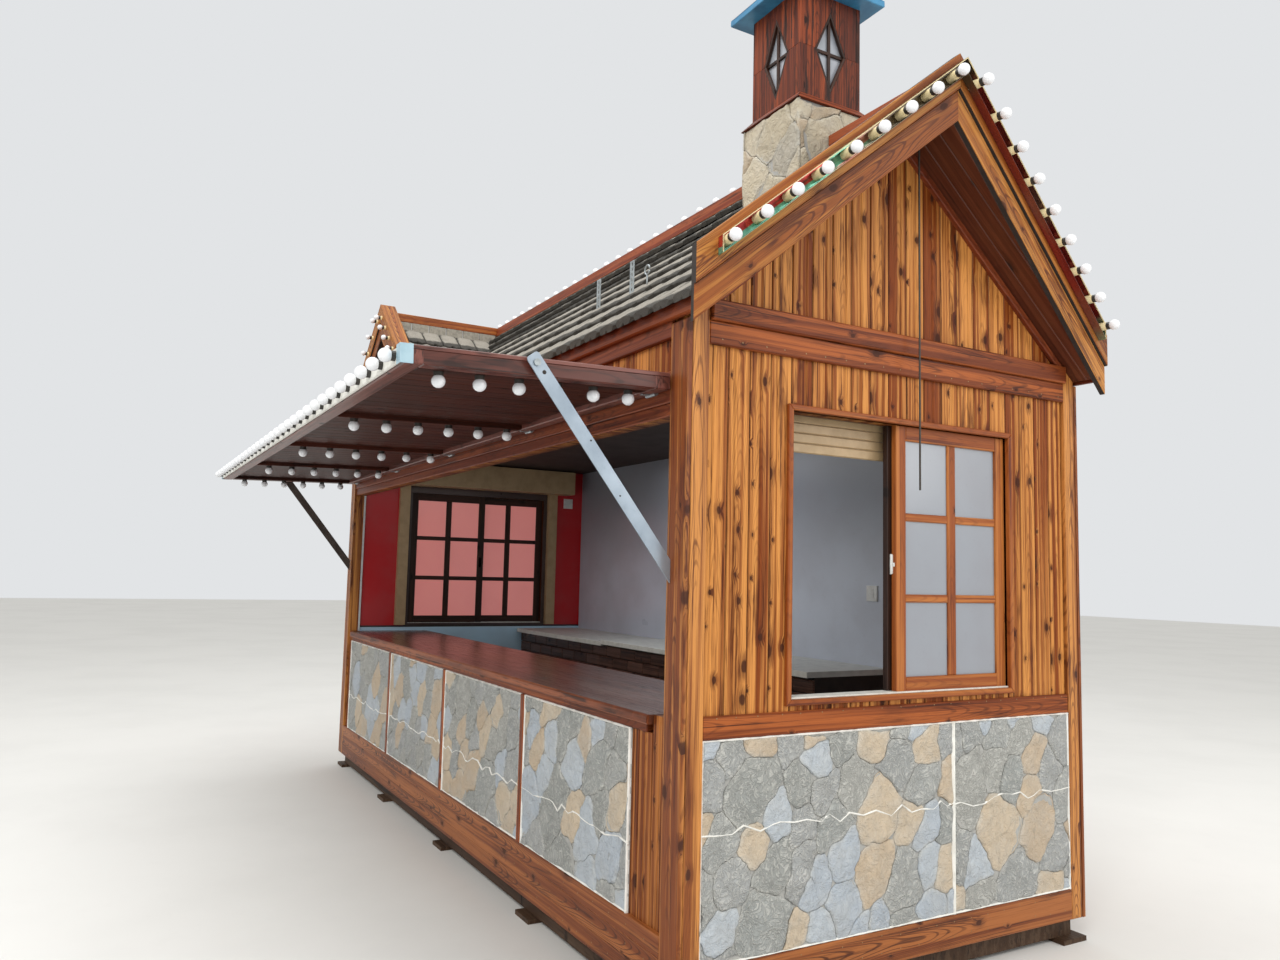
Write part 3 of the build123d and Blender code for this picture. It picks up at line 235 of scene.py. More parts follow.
def timber(name, pale, middle, dark, knot, sheet=False, gloss=0.5, coat=0.06, figure=0.5,
           knots=1.0, streaks=1.0, worn=0.0, tones=0.5, specular=0.3):
    """Torched softwood: dark latewood lines, knots with the grain bent round them, burnt
    joints, and a tone for each board. A sheet has no boards, and its grain runs along X."""
    f = Finish(name, roughness=gloss, coat=coat, coat_roughness=0.3, specular=specular)
    pale, middle, dark, knot = (tuple(np.multiply(paint(*colour), warmth)) for colour, warmth in (
        (pale, pale_warmth), (middle, middle_warmth), (dark, dark_warmth), (knot, (1, 1, 1, 1))))
    place = f.object_place() if sheet else f.attribute("grain")
    lengthways, across, deep = f.apart(place)
    wander = f.noise(f.together(lengthways * 1.3, across * 6, deep * 6), 1, 2) - 0.5
    # Knots: a dark heart, a burnt halo and fibres that swerve
    wobble = f.noise(f.together(lengthways * 60, across * 60, deep), 1, 1) - 0.5
    cell = f.node("ShaderNodeTexVoronoi", {"voronoi_dimensions": "2D"}, {
        "Vector": f.together(lengthways * 6.2 + deep, across * 10.5 + 0.5, 0.0), "Scale": 1.0})
    pick, girth, _ = f.apart(Value(f, cell.outputs["Color"]))
    apart = (Value(f, cell.outputs["Distance"]) + wobble * 0.07) / (girth * girth * 1.1 + 0.42)
    chosen = pick.over(1 - 0.38 * knots)
    heart = apart.ramp(0.085, 0.135, 1.0, 0.0) * chosen
    halo = apart.ramp(0.10, 0.36, 1.0, 0.0) * chosen
    bent = across + wander * 0.022 + halo * 0.010
    bands = f.noise(f.together(lengthways * 0.45, bent * 42, deep * 12), 1, 3, 0.55)
    fibre = f.noise(f.together(lengthways * 6, bent * 330, deep * 90), 1, 2, 0.6)
    lines = f.noise(f.together(lengthways * 0.9, bent * 130, deep * 30), 1, 3, 0.6)
    burn = f.noise(f.together(lengthways * 2.4, bent * 16, deep * 6), 1, 4, 0.6)
    rings = ((lengthways * 9.0 + across * across * 2100 + wander * 12.0) * 6.283).sine()
    patch = f.noise(f.together(lengthways * 1.2, across * 7, deep * 3), 1, 1).ramp(0.40, 0.55)
    flame = (rings * 0.5 + 0.5).ramp(0.70, 1.0) * patch * figure
    tone = f.noise(place, 0.6, 1) if sheet else f.attribute("tone", "Fac")
    shade = bands.ramp(0.36, 0.64) * 0.8 + tone * tones + lines * 0.15 - 0.3 * tones
    wood = f.mix(shade.ramp(0.05, 0.95), pale, middle)
    dark_lines = (lines.ramp(0.53, 0.68) * (burn.ramp(0.42, 0.62) * 0.85 + 0.18)
                  + fibre.ramp(0.52, 0.72) * 0.35) * (streaks * 1.3)
    scorch = burn.ramp(0.54, 0.72) * 0.55 * streaks
    wood = f.mix((dark_lines + flame * 0.85 + halo * 0.5 + scorch).lowest(0.92), wood, dark)
    seam = heart if sheet else f.attribute("dust", "Fac")
    wood = f.mix((heart * 0.85 + seam * (0.6 + lines * 0.5)).lowest(0.94), wood, knot)
    if worn:
        rub = f.noise(place, 9, 4, 0.65).ramp(0.52, 0.66) * worn
        wood = f.mix(rub, wood, pale)
    f.colour(wood)
    f.rough(fibre * 0.16 + (gloss - 0.06) + heart * 0.15)
    f.bump(fibre * 0.4 + lines * 0.5 - flame * 0.4 - heart * 0.5, 0.0012, 0.5)
    return f.material


char_knot = (62, 30, 18)
wall_finish = timber("golden_boards", (228, 162, 92), (140, 76, 33),
                     (84, 38, 18), char_knot, figure=0.3, streaks=1.15, tones=0.75,
                     knots=1.7, coat=0.03, specular=0.14)
dado_finish = timber("dado_boards", (190, 126, 70), (120, 62, 28), (74, 32, 16),
                     char_knot, figure=0.3, streaks=1.2, coat=0.03, specular=0.14)
post_finish = timber("post_boards", (216, 152, 84), (136, 78, 38),
                     (88, 42, 22), char_knot, knots=0.6, figure=0.6, streaks=1.2, tones=0.6)
rail_finish = timber("red_brown_rails", (178, 100, 50), (116, 58, 28),
                     (68, 30, 16), char_knot, knots=0.45, figure=0.5, streaks=1.0,
                     specular=0.2)
skirt_finish = timber("skirt_timber", (178, 112, 62), (130, 74, 40),
                      (78, 40, 24), char_knot, knots=0.6, figure=0.9, streaks=0.8)
barge_finish = timber("figured_bargeboard", (208, 148, 76), (152, 93, 43),
                     (96, 50, 24), char_knot, knots=0.5, figure=1.0, streaks=1.3, tones=0.7)
fascia_finish = timber("fascia_timber", (156, 84, 50), (118, 56, 34),
                       (66, 30, 22), char_knot, knots=0.4, figure=0.4, streaks=0.7)
soffit_finish = timber("soffit_boards", (112, 62, 44), (88, 46, 33),
                       (52, 27, 20), (28, 16, 14), knots=0.3, streaks=0.6,
                       figure=0.2, gloss=0.45, coat=0.2)
hatch_finish = timber("hatch_beams", (128, 80, 76), (94, 54, 54),
                      (40, 22, 24), (26, 14, 14), knots=0.5, figure=0.5, gloss=0.4,
                      coat=0.3)
hatch_board_finish = timber("hatch_lining_boards", (82, 40, 30), (56, 27, 21),
                            (34, 18, 18), (24, 12, 12), knots=0.2, figure=0.2,
                            gloss=0.50, coat=0.03, specular=0.15)
counter_finish = timber("counter_varnish", (136, 88, 70), (98, 60, 50),
                        (52, 30, 28), (34, 20, 18), sheet=True, gloss=0.26, coat=0.6,
                        knots=0.3, figure=0.3, streaks=0.6, worn=0.25)
nose_finish = timber("counter_nose", (168, 100, 66), (114, 64, 46), (56, 30, 24),
                     char_knot, sheet=True, knots=0.2, figure=0.2, streaks=1.3, worn=0.3)
casing_finish = timber("window_timber", (196, 126, 64), (154, 88, 40),
                       (96, 46, 26), char_knot, knots=0.25, figure=0.3, streaks=0.8)
dark_sash_finish = timber("dark_sash", (70, 44, 34), (48, 30, 25),
                          (28, 17, 15), (24, 14, 12), figure=0.2)
ridge_finish = timber("ridge_timber", (170, 92, 58), (136, 64, 42),
                      (76, 36, 28), char_knot, knots=0.0, figure=0.2)
lantern_finish = timber("lantern_boards", (156, 74, 36), (96, 42, 24),
                        (30, 16, 14), (22, 13, 12), knots=0.2, figure=0.4, streaks=1.7,
                        gloss=0.56, coat=0.04)
cabinet_finish = timber("cabinet_panels", (130, 98, 90), (88, 64, 60),
                        (44, 28, 26), (20, 12, 12), figure=0.3, gloss=0.38, coat=0.3)
bearer_finish = timber("bearers", (92, 74, 60), (70, 54, 44), (40, 30, 26),
                       (30, 20, 18), sheet=True, figure=0.2, gloss=0.6, coat=0.0)
floor_finish = timber("floor_sheets", (150, 128, 104), (124, 102, 82),
                      (84, 66, 52), (50, 36, 28), sheet=True, figure=0.6, gloss=0.6)


def stone(name, colours, bump, scale=1.0, ripples=1.0, tint=0.5):
    """Stone whose colour comes from each stone's own tone, with ripples, a gritty relief and a painted
    highlight just inside each stone's edge. Stones whose tone is above tint have faint ripples."""
    f = Finish(name, roughness=0.75)
    place = f.object_place()
    tone = f.attribute("tone", "Fac")
    stops = [(i / len(colours), paint(*colour)) for i, colour in enumerate(colours)]
    base = f.value("ShaderNodeValToRGB", {"stops": stops}, {0: tone})
    f.tree.nodes[-1].color_ramp.interpolation = "CONSTANT"
    cloud = f.noise(place, 10 * scale, 5, 0.62)
    grit = f.noise(place, 150 * scale, 4, 0.7)
    swirl = f.value("ShaderNodeVectorMath", {"operation": "ADD"}, {
        0: place, 1: f.value("ShaderNodeVectorMath", {"operation": "SCALE"}, {
            0: f.value("ShaderNodeTexNoise", {}, {"Vector": place, "Scale": 9 * scale}, "Color"),
            3: 0.14 / scale})})
    ripple = (f.noise(swirl, 30 * scale, 3, 0.6) * 34).sine() * 0.5 + 0.5
    crag = f.noise(swirl, 26 * scale, 5, 0.65)
    rippled = tone.ramp(tint, tint + 0.03, ripples, 0.25 * ripples)
    body = f.mix(cloud.ramp(0.35, 0.7) * 0.30, base, paint(186, 186, 182))
    body = f.mix(crag.ramp(0.56, 0.72) * 0.35 + grit.ramp(0.6, 0.8) * 0.2, body,
                 paint(126, 124, 118))
    # Painted highlight: a pale rim just inside each stone's raised edge
    rim = f.attribute("dust", "Fac") * cloud.ramp(0.35, 0.6)
    f.colour(f.mix(ripple.ramp(0.66, 0.98) * rippled * 0.42 + rim * 0.45, body,
                   paint(214, 214, 208)))
    f.bump(ripple * rippled * 0.22 + grit * 0.12 + crag * 1.1 + cloud * 0.5, 0.010 * bump, 0.8)
    return f.material


stone_finish = stone("relief_stone", [
    (168, 171, 170), (162, 166, 165), (158, 161, 159), (171, 172, 168),
    (165, 168, 168), (169, 172, 173), (180, 190, 201), (186, 195, 204),
    (200, 181, 156), (196, 177, 153), (205, 188, 164)], bump=3.0, tint=0.54)
rubble_finish = stone("rubble_stone", [
    (190, 179, 156), (198, 187, 164), (176, 169, 154), (204, 193, 170),
    (184, 166, 140)], scale=0.9, bump=2.4, ripples=0.15)


def plain(name, colour, second, rough=0.5, metallic=0.0, coat=0.0, scale=20, amount=0.5,
          bump=0.0, streak=(1, 1, 1), specular=0.5):
    """A paint, plastic or metal with clouds of a second colour and faint wear."""
    f = Finish(name, roughness=rough, metallic=metallic, coat=coat, specular=specular)
    place = f.value("ShaderNodeMapping", {}, {"Vector": f.object_place(), "Scale": streak})
    cloud, grit = f.noise(place, scale, 4, 0.6), f.noise(place, scale * 9, 3, 0.6)
    f.colour(f.mix(cloud.ramp(0.38, 0.68) * amount + grit.ramp(0.55, 0.8) * amount * 0.4,
                   paint(*colour), paint(*second)))
    f.rough(cloud * 0.2 + (rough - 0.1) + grit * 0.06)
    if bump:
        f.bump(grit * 0.5 + cloud, bump, 0.5)
    return f.material


sealant = plain("white_sealant", (244, 244, 240), (214, 212, 204), 0.4, amount=0.5)
grout = plain("panel_ground", (170, 170, 167), (148, 148, 146), 0.85, scale=40,
              bump=0.002)
char = plain("charred_edge", (40, 34, 32), (58, 50, 46), 0.7, scale=30)
globe_white = plain("globe_opal", (240, 243, 248), (226, 230, 238), 0.22, coat=0.4,
                    scale=12, amount=0.25)
socket_cream = plain("socket_cream", (238, 222, 176), (214, 192, 142), 0.45)
collar_black = plain("collar_black", (38, 36, 34), (60, 56, 50), 0.4)
galvanised = plain("galvanised_steel", (176, 184, 188), (138, 146, 150), 0.38,
                   metallic=0.75, scale=28, amount=0.7, bump=0.0004)
strut_steel = plain("strut_steel", (158, 171, 184), (118, 133, 148), 0.36,
                    metallic=0.6, scale=5, amount=0.5, coat=0.1)
# Painted shade: the same steel as the near strut, made darker for the far strut, which stands in shade
dark_strut = plain("strut_in_painted_shade", (92, 82, 76), (60, 50, 44), 0.45, metallic=0.4,
                   scale=7, amount=0.7)
cap_paint = plain("sky_blue_cap", (62, 142, 186), (34, 96, 138), 0.42, scale=7,
                  amount=0.7, coat=0.2)
pale_blue = plain("pale_blue_sheet", (172, 202, 216), (142, 176, 194), 0.35,
                  metallic=0.2, scale=14, coat=0.2)
off_white = plain("white_edge_strip", (232, 232, 226), (196, 194, 186), 0.5,
                  scale=18, amount=0.6)
tan_metal = plain("tan_shutter", (178, 152, 116), (154, 130, 96), 0.42,
                  metallic=0.1, coat=0.1, scale=14)
ceiling_paint = plain("ceiling_sheet", (48, 35, 30), (34, 26, 23), 0.7, scale=6)
work_grey = plain("worktop_grey", (206, 208, 204), (178, 182, 180), 0.45, scale=16)
work_edge = plain("worktop_pale_edge", (234, 234, 226), (210, 208, 198), 0.45)
white_jamb = plain("grey_white_jamb", (216, 218, 220), (178, 182, 186), 0.45,
                   scale=9, amount=0.6)
cable_skin = plain("black_cable", (62, 56, 50), (36, 32, 30), 0.55, scale=90)
opal_glass = plain("milky_pane", (176, 181, 190), (148, 155, 166), 0.12, coat=0.7,
                   scale=2.2, amount=0.7)
latch_white = plain("latch_white", (226, 228, 226), (190, 190, 186), 0.4)
nail_brass = plain("nail_heads", (150, 122, 84), (96, 74, 50), 0.4, metallic=0.5)
pale_tile = plain("pale_tile", (158, 153, 142), (112, 108, 101), 0.85, scale=34,
                  bump=0.002)


def tile_coat():
    """Stone-coated roof tile: pale backs, partly dust and partly painted light, dark fronts as painted
    shade, coarse grit.
    """
    f = Finish("stone_coated_tile", roughness=0.85)
    place = f.object_place()
    dust, tone = f.attribute("dust", "Fac"), f.attribute("tone", "Fac")
    grit, cloud = f.noise(place, 260, 3, 0.75), f.noise(place, 11, 4, 0.6)
    edge = f.noise(place, 34, 3, 0.6)
    # Painted light: the per-point mark makes the tops pale and the fronts dark, standing in for light
    # from above and shade under each tab
    body = f.mix((dust + edge * 0.7 - 0.42 + tone * 0.12).ramp(0.35, 0.75),
                 paint(58, 56, 52), paint(158, 153, 143))
    body = f.mix(cloud.ramp(0.4, 0.7) * 0.3, body, paint(104, 100, 92))
    f.colour(f.mix(grit.ramp(0.45, 0.75) * 0.45, body, paint(84, 81, 75)))
    f.bump(grit + cloud + edge, 0.004, 0.9)
    return f.material


tile_finish = tile_coat()


def mirror_metal():
    """Polished channel that carries the lamps, with the reds and greens it mirrors."""
    f = Finish("polished_strip", roughness=0.16, metallic=0.55, coat=0.4)
    x, y, z = f.apart(f.object_place())
    far, level = (y - centre_y).size(), z + (y - centre_y).size() * pitch_tan
    wave = f.noise(f.together(y * 1.6, level * 26, x), 1, 2)
    body = f.mix((far + wave * 0.3).ramp(0.52, 0.66), paint(82, 70, 50), paint(106, 178, 152))
    top = board_foot_z + board_plumb - strip_below + (centre_y - foot_y) * pitch_tan
    upper = level.ramp(top - 0.040, top - 0.034) * f.noise(
        f.together(y * 2.4, x, 0.0), 1, 1).ramp(0.44, 0.48)
    body = f.mix(wave.ramp(0.55, 0.61).highest(upper) * far.ramp(0.3, 0.6), body,
                 paint(178, 48, 42))
    red = (y - centre_y).ramp(0.02, 0.10) * far.ramp(0.95, 1.10, 1, 0)
    body = f.mix(red * (0.6 + wave * 0.5), body, paint(128, 44, 38))
    f.colour(f.mix(wave.ramp(0.30, 0.40, 1, 0) * 0.8, body, paint(46, 62, 52)))
    return f.material


strip_finish = mirror_metal()


# Mesh pieces

def straight(origin, s, t, d):
    """Places points given as (along, up, out) with plain axes."""
    axes = np.array([s, t, d], float)
    start = np.array(origin, float)
    return lambda points: start + np.asarray(points, float) @ axes


def gable_place(end):
    return straight((0, 0, 0), (0, 1, 0), (0, 0, 1), (end, 0, 0))


def side_place(side):
    return straight((0, centre_y, 0), (1, 0, 0), (0, 0, 1), (0, side, 0))


level_place = straight((0, 0, 0), (1, 0, 0), (0, 1, 0), (0, 0, 1))


def splay_place(end, side):
    """Upright face along a bargeboard: along its foot line, level, outwards."""
    normal = np.array([math.cos(splay), -math.sin(splay), 0])
    along = np.array([math.sin(splay), math.cos(splay), 0])

    def move(points):
        p = np.asarray(points, float)
        world = (np.array([foot_x, foot_y, 0]) + p[:, :1] * along
                 + p[:, 1:2] * np.array([0, 0, 1]) + p[:, 2:3] * normal)
        world[:, 1] = np.minimum(world[:, 1], centre_y)
        world[:, 1] = centre_y + side * (centre_y - world[:, 1])
        world[:, 0] *= end
        return world
    return move


def left_handed(place):
    """Says whether a placing mirrors its points, so that faces have to be turned round."""
    base = place(np.array([(0, 0, 0), (1e-3, 0, 0), (0, 1e-3, 0), (0, 0, 1e-3)]))
    return np.linalg.det(base[1:] - base[0]) < 0


def inset(outline, distance):
    """Moves each edge of an outline inwards by one distance."""
    count = len(outline)
    lines = []
    for i in range(count):
        a, b = np.array(outline[i], float), np.array(outline[(i + 1) % count], float)
        way = (b - a) / max(np.linalg.norm(b - a), 1e-9)
        inward = np.array([-way[1], way[0]])
        lines.append((a + inward * distance, way))
    corners = []
    for i in range(count):
        (p, u), (q, v) = lines[i - 1], lines[i]
        bend = u[0] * v[1] - u[1] * v[0]
        if abs(bend) < 1e-6:
            corners.append(q)
        else:
            corners.append(p + u * ((q - p)[0] * v[1] - (q - p)[1] * v[0]) / bend)
    return np.array(corners)


def clip(outline, normal, limit):
    """Keeps the part of a convex outline where normal . point is at most limit."""
    kept = []
    for i, a in enumerate(outline):
        b = outline[(i + 1) % len(outline)]
        da = a[0] * normal[0] + a[1] * normal[1] - limit
        db = b[0] * normal[0] + b[1] * normal[1] - limit
        if da <= 0:
            kept.append(tuple(a))
        if da * db < 0:
            share = da / (da - db)
            kept.append((a[0] + (b[0] - a[0]) * share, a[1] + (b[1] - a[1]) * share))
    return kept


def rectangle(s0, s1, t0, t1):
    return [(s0, t0), (s1, t0), (s1, t1), (s0, t1)]


class Piece:
    """Gathers closed solids, each with its grain and tone, into one mesh."""

    def __init__(self, name, body="hut", seed=1):
        self.name, self.body, self.chance = name, body, random.Random(name + str(seed))
        self.points, self.faces, self.slots, self.grains, self.tones = [], [], [], [], []
        self.dusts, self.smooth = [], []

    def solid(self, points, faces, grain, tone=None, slots=0, dust=0.0, smooth=False):
        start = len(self.points)
        self.points += [tuple(p) for p in points]
        self.grains += [tuple(g) for g in grain]
        tone = self.chance.random() if tone is None else tone
        self.tones += [tone] * len(points)
        self.dusts += list(dust) if hasattr(dust, "__len__") else [dust] * len(points)
        slots = [slots] * len(faces) if isinstance(slots, int) else slots
        for face, slot in zip(faces, slots):
            self.faces.append([start + i for i in face])
            self.slots.append(slot)
            self.smooth.append(smooth)

    def plank(self, outline, place, low, high, chamfer=0.002, along=(1, 0), slot=0,
              edge_slot=None, tone=None, back_chamfer=0.0):
        """A board cut to an outline, from low to high above its plane, with eased edges."""
        outline = np.array(outline, float)
        area = sum(outline[i - 1][0] * p[1] - p[0] * outline[i - 1][1]
                   for i, p in enumerate(outline))
        if area < 0:
            outline = outline[::-1]
        count = len(outline)
        rings = [(outline, low)]
        if back_chamfer:
            rings = [(inset(outline, back_chamfer), low), (outline, low + back_chamfer)]
        if chamfer:
            rings += [(outline, high - chamfer), (inset(outline, chamfer), high)]
        else:
            rings.append((outline, high))
        local = np.array([(p[0], p[1], depth) for ring, depth in rings for p in ring])
        faces, slots = [list(range(count))[::-1]], [slot if edge_slot is None else edge_slot]
        for r in range(len(rings) - 1):
            side_slot = slot
            if edge_slot is not None and r < len(rings) - (2 if chamfer else 1):
                side_slot = edge_slot
            for i in range(count):
                j = (i + 1) % count
                faces.append([r * count + i, r * count + j, (r + 1) * count + j,
                              (r + 1) * count + i])
                slots.append(side_slot)
        faces.append([(len(rings) - 1) * count + i for i in range(count)])
        slots.append(slot)
        if left_handed(place):
            faces = [face[::-1] for face in faces]
        along = np.array(along, float) / np.linalg.norm(along)
        across = np.array([-along[1], along[0]])
        flat = local[:, :2]
        ways = flat @ across
        grain = np.stack([flat @ along + self.chance.uniform(0, 40),
                          ways - (ways.min() + ways.max()) / 2,
                          local[:, 2] + self.chance.uniform(0, 40)], 1)
        self.solid(place(local), faces, grain, tone, slots)

    def done(self, *finishes, slot, replaces=()):
        """Makes the object, with its attributes, and sets it on its body."""
        mesh = bpy.data.meshes.new(self.name)
        mesh.from_pydata(self.points, [], self.faces)
        for name, kind, data in (("grain", "FLOAT_VECTOR", self.grains),
                                 ("tone", "FLOAT", self.tones), ("dust", "FLOAT", self.dusts)):
            layer = mesh.attributes.new(name, kind, "POINT")
            key = "vector" if kind == "FLOAT_VECTOR" else "value"
            layer.data.foreach_set(key, np.array(data, np.float32).ravel())
        for finish in finishes:
            mesh.materials.append(finish)
        mesh.polygons.foreach_set("material_index", self.slots)
        mesh.polygons.foreach_set("use_smooth", self.smooth)
        mesh.update()
        return settle(mesh, self.name, self.body, replaces)


def settle(mesh, name, body, replaces):
    """Puts a finished mesh in the scene on its body, and hides the CAD parts that it replaces."""
    made = bpy.data.objects.new(name, mesh)
    scene.collection.objects.link(made)
    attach(made, body)
    if replaces:
        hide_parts(*replaces)
    return made


def refinish(finish, *nodes):
    """Gives CAD nodes whose shape is right a better finish."""
    for node in nodes:
        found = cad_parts[node]
        found.data.materials.clear()
        found.data.materials.append(finish)


def even_edges(s0, s1, count):
    """Edges of boards of one width."""
    return s0 + (s1 - s0) * np.arange(count + 1) / count


def board_wall(piece, place, edges, low, high, out_low, out_high, holes=()):
    """Upright matched boards with a V at each joint and a shallow flute beside it. low and
    high give the ends of a board at one place along the wall."""
    groove, flute_half, flute_deep = 0.0045, 0.0070, 0.0022
    for a, b in zip(edges[:-1], edges[1:]):
        flute = a + (b - a) * piece.chance.choice((0.30, 0.5, 0.68))
        profile = [(a, out_low), (b, out_low), (b, out_high - groove), (b - groove, out_high),
                   (flute + flute_half, out_high), (flute, out_high - flute_deep),
                   (flute - flute_half, out_high), (a + groove, out_high),
                   (a, out_high - groove)]
        spans = [(low, high)]
        for h0, h1, hl, hh in holes:
            if a > h0 - 1e-4 and b < h1 + 1e-4:
                spans = [(low, lambda s, hl=hl: hl), (lambda s, hh=hh: hh, high)]
        tone = piece.chance.random()
        shift, sink = piece.chance.uniform(0, 40), piece.chance.uniform(0, 40)
        for start, stop in spans:
            local, grain, seam = [], [], []
            for level in (start, stop):
                for k, (s, d) in enumerate(profile):
                    t = level(s)
                    local.append((s, t, d))
                    grain.append((t + shift, s - (a + b) / 2, d + sink))
                    seam.append(1.0 if k in (0, 1, 2, 8) else 0.25 if k == 5 else 0.05)
            n = len(profile)
            if local[n][1] - local[0][1] < 0.002:
                continue
            faces = [list(range(n)), [n + i for i in range(n)][::-1]]
            faces += [[i, n + i, n + (i + 1) % n, (i + 1) % n] for i in range(n)]
            if not left_handed(place):
                faces = [face[::-1] for face in faces]
            piece.solid(place(local), faces, grain, tone, 0, seam)


# Walls of upright boards
floor_level = lambda s: base_z
for end, node in ((1, "gable_wall_right"), (-1, "gable_wall_left")):
    wall = Piece("gable_boards_" + ("right" if end > 0 else "left"))
    edges = np.concatenate((np.linspace(bay_front_y, hole_y0, 5),
                            np.linspace(hole_y0, hole_y1, 13)[1:],
                            np.linspace(hole_y1, bay_back_y, 5)[1:]))
    board_wall(wall, gable_place(end), edges, floor_level, soffit_level, inner_x, clad_x,
               [(hole_y0, hole_y1, hole_z0, hole_z1)])
    wall.done(wall_finish, slot="wall_wood", replaces=[node])

wall = Piece("header_boards")
board_wall(wall, side_place(-1), even_edges(-bay_x, bay_x, 50), lambda s: opening_head_z,
           lambda s: soffit_level(clad_front_y), centre_y - inner_front_y, side_clad)
wall.done(wall_finish, slot="wall_wood", replaces=["front_header"])

wall = Piece("dado_boards")
for s0, s1, count, top in ((-bay_x, counter_x0, 2, counter_z),
                           (counter_x0, counter_x1, 48, counter_under_z),
                           (counter_x1, bay_x, 1, counter_z)):
    board_wall(wall, side_place(-1), even_edges(s0, s1, count), floor_level,
               lambda s, top=top: top, centre_y - inner_front_y, side_clad)
wall.done(dado_finish, slot="wall_wood", replaces=["front_dado"])

wall = Piece("back_boards")
for s0, s1, count, low in ((-bay_x, door_x0, 40, base_z), (door_x0, door_x1, 8, door_top_z),
                           (door_x1, bay_x, 2, base_z)):
    board_wall(wall, side_place(1), even_edges(s0, s1, count), lambda s, low=low: low,
               lambda s: soffit_level(clad_back_y), inner_back_y - centre_y, side_clad)
wall.done(wall_finish, slot="wall_wood", replaces=["back_wall"])

# Corner posts: a board on each face, lapped at the corner, and a pale jamb beside the bay
posts = Piece("corner_boards")
corner_lap, core_lap, jamb = 0.022, 0.018, 0.014
lapped_y = front_y + corner_lap
for end in (-1, 1):
    for side in (-1, 1):
        def carry(points, end=end, side=side):
            moved = np.array(points, float)
            moved[:, 0] *= end
            moved[:, 1] = centre_y + side * (centre_y - moved[:, 1])
            return moved
        gable = lambda p: carry(gable_place(1)(p))
        front = lambda p: carry(side_place(-1)(p))
        top = soffit_level(front_y) - 0.001
        posts.plank(rectangle(bay_x, end_x, base_z, top), front, side_clad, half_depth, 0.003,
                    (0, 1))
        posts.plank([(lapped_y, base_z), (bay_front_y, base_z),
                     (bay_front_y, soffit_level(bay_front_y)),
                     (lapped_y, soffit_level(lapped_y))], gable, clad_x - 0.006, end_x, 0.003,
                    (0, 1))
        for a, b, slot in ((front_y + core_lap, bay_front_y - jamb, 0),
                           (bay_front_y - jamb, bay_front_y, 2)):
            posts.plank([(a, base_z), (b, base_z), (b, soffit_level(b)), (a, soffit_level(a))],
                        gable, bay_x + 0.001, clad_x - 0.004, 0.0, (0, 1), slot=slot)
posts.done(post_finish, char, white_jamb, slot="post_wood", replaces=["corner_posts"])

# Skirt boards: one on each gable, three above each other along the sides
back_spans = ((-bay_x, door_trim_x0), (door_trim_x1, bay_x))
skirt_rows = (base_z, 0.172, 0.243, side_skirt_z)
skirt = Piece("skirt_planks")
for end in (-1, 1):
    skirt.plank(rectangle(bay_front_y, bay_back_y, base_z, gable_skirt_z), gable_place(end),
                clad_x, end_x, 0.004)
for side, spans in ((-1, ((-bay_x, bay_x),)), (1, back_spans)):
    for s0, s1 in spans:
        for low, high in zip(skirt_rows[:-1], skirt_rows[1:]):
            skirt.plank(rectangle(s0, s1, low, high), side_place(side), side_clad, half_depth,
                        0.002)
skirt.done(skirt_finish, slot="rail_wood", replaces=["skirt_boards"])


def under_roof(outline):
    """Cuts an outline on a gable back to the slopes of the roof."""
    for sign in (-1, 1):
        outline = clip(outline, (sign * pitch_tan, 1), apex_z + sign * pitch_tan * centre_y)
    return outline


# Rails and stepped cornices
rail_proud = 0.014
rails = Piece("rails_and_cornices")
for end in (-1, 1):
    place = gable_place(end)
    rails.plank(rectangle(bay_front_y, bay_back_y, rail_z, rail_top_z), place, clad_x,
                clad_x + rail_proud, 0.004)
    rails.plank(under_roof(rectangle(bay_front_y, bay_back_y, cornice_z0, cornice_z1)), place,
                clad_x, end_x, 0.004)
    rails.plank(under_roof(rectangle(bay_front_y, bay_back_y, cornice_z1, cornice_z2)), place,
                clad_x, end_x + proud, 0.005)
for s0, s1 in back_spans:
    rails.plank(rectangle(s0, s1, rail_z, rail_top_z), side_place(1), side_clad,
                side_clad + rail_proud, 0.004)
rails.done(rail_finish, slot="rail_wood", replaces=["wall_rails"])

# Battens between the stone panels
stone_bays, panel_width, batten = 4, 1.105, 0.040
stone_x0, stone_x1 = -bay_x + 0.123, bay_x - 0.243
front_pitch = panel_width + batten
back_pitch = (door_trim_x0 + bay_x + batten) / stone_bays
battens = Piece("panel_uprights")
for bay in range(1, stone_bays):
    for x, top, side in ((stone_x0 + bay * front_pitch, counter_under_z, -1),
                         (-bay_x + bay * back_pitch, rail_z, 1)):
        battens.plank(rectangle(x - batten, x, side_skirt_z, top), side_place(side), side_clad,
                      half_depth, 0.003, (0, 1))
battens.done(rail_finish, slot="batten_wood", replaces=["panel_battens"])


def board_back_x(y):
    """Inner face of the bargeboard at one place across the hut."""
    run = splay_run - abs(y - centre_y)
    return foot_x - board_thickness * math.cos(splay) + math.tan(splay) * (
        run - board_thickness * math.sin(splay))


# Eaves fascia and the head beam over the opening
fascia = Piece("fascia_boards")
for side in (-1, 1):
    fascia.plank(rectangle(-bay_x, bay_x, fascia_z0, fascia_z2), side_place(side), side_clad,
                 half_depth, 0.004)
    reach = board_back_x(front_y)
    fascia.plank(rectangle(-reach, reach, fascia_z1, fascia_z2), side_place(side), half_depth,
                 half_depth + fascia_proud, 0.005)
fascia.done(fascia_finish, slot="soffit_wood", replaces=["eaves_fascia"])

beam = Piece("head_beam_boards")
for low, high, out in ((0.100, head_beam_height, half_depth),
                       (0.048, 0.100, half_depth - 0.006), (0.0, 0.048, half_depth - 0.012)):
    beam.plank(rectangle(-bay_x, bay_x, opening_head_z + low, opening_head_z + high),
               side_place(-1), side_clad, out, 0.004)
beam.done(fascia_finish, slot="post_wood", replaces=["head_beam"])

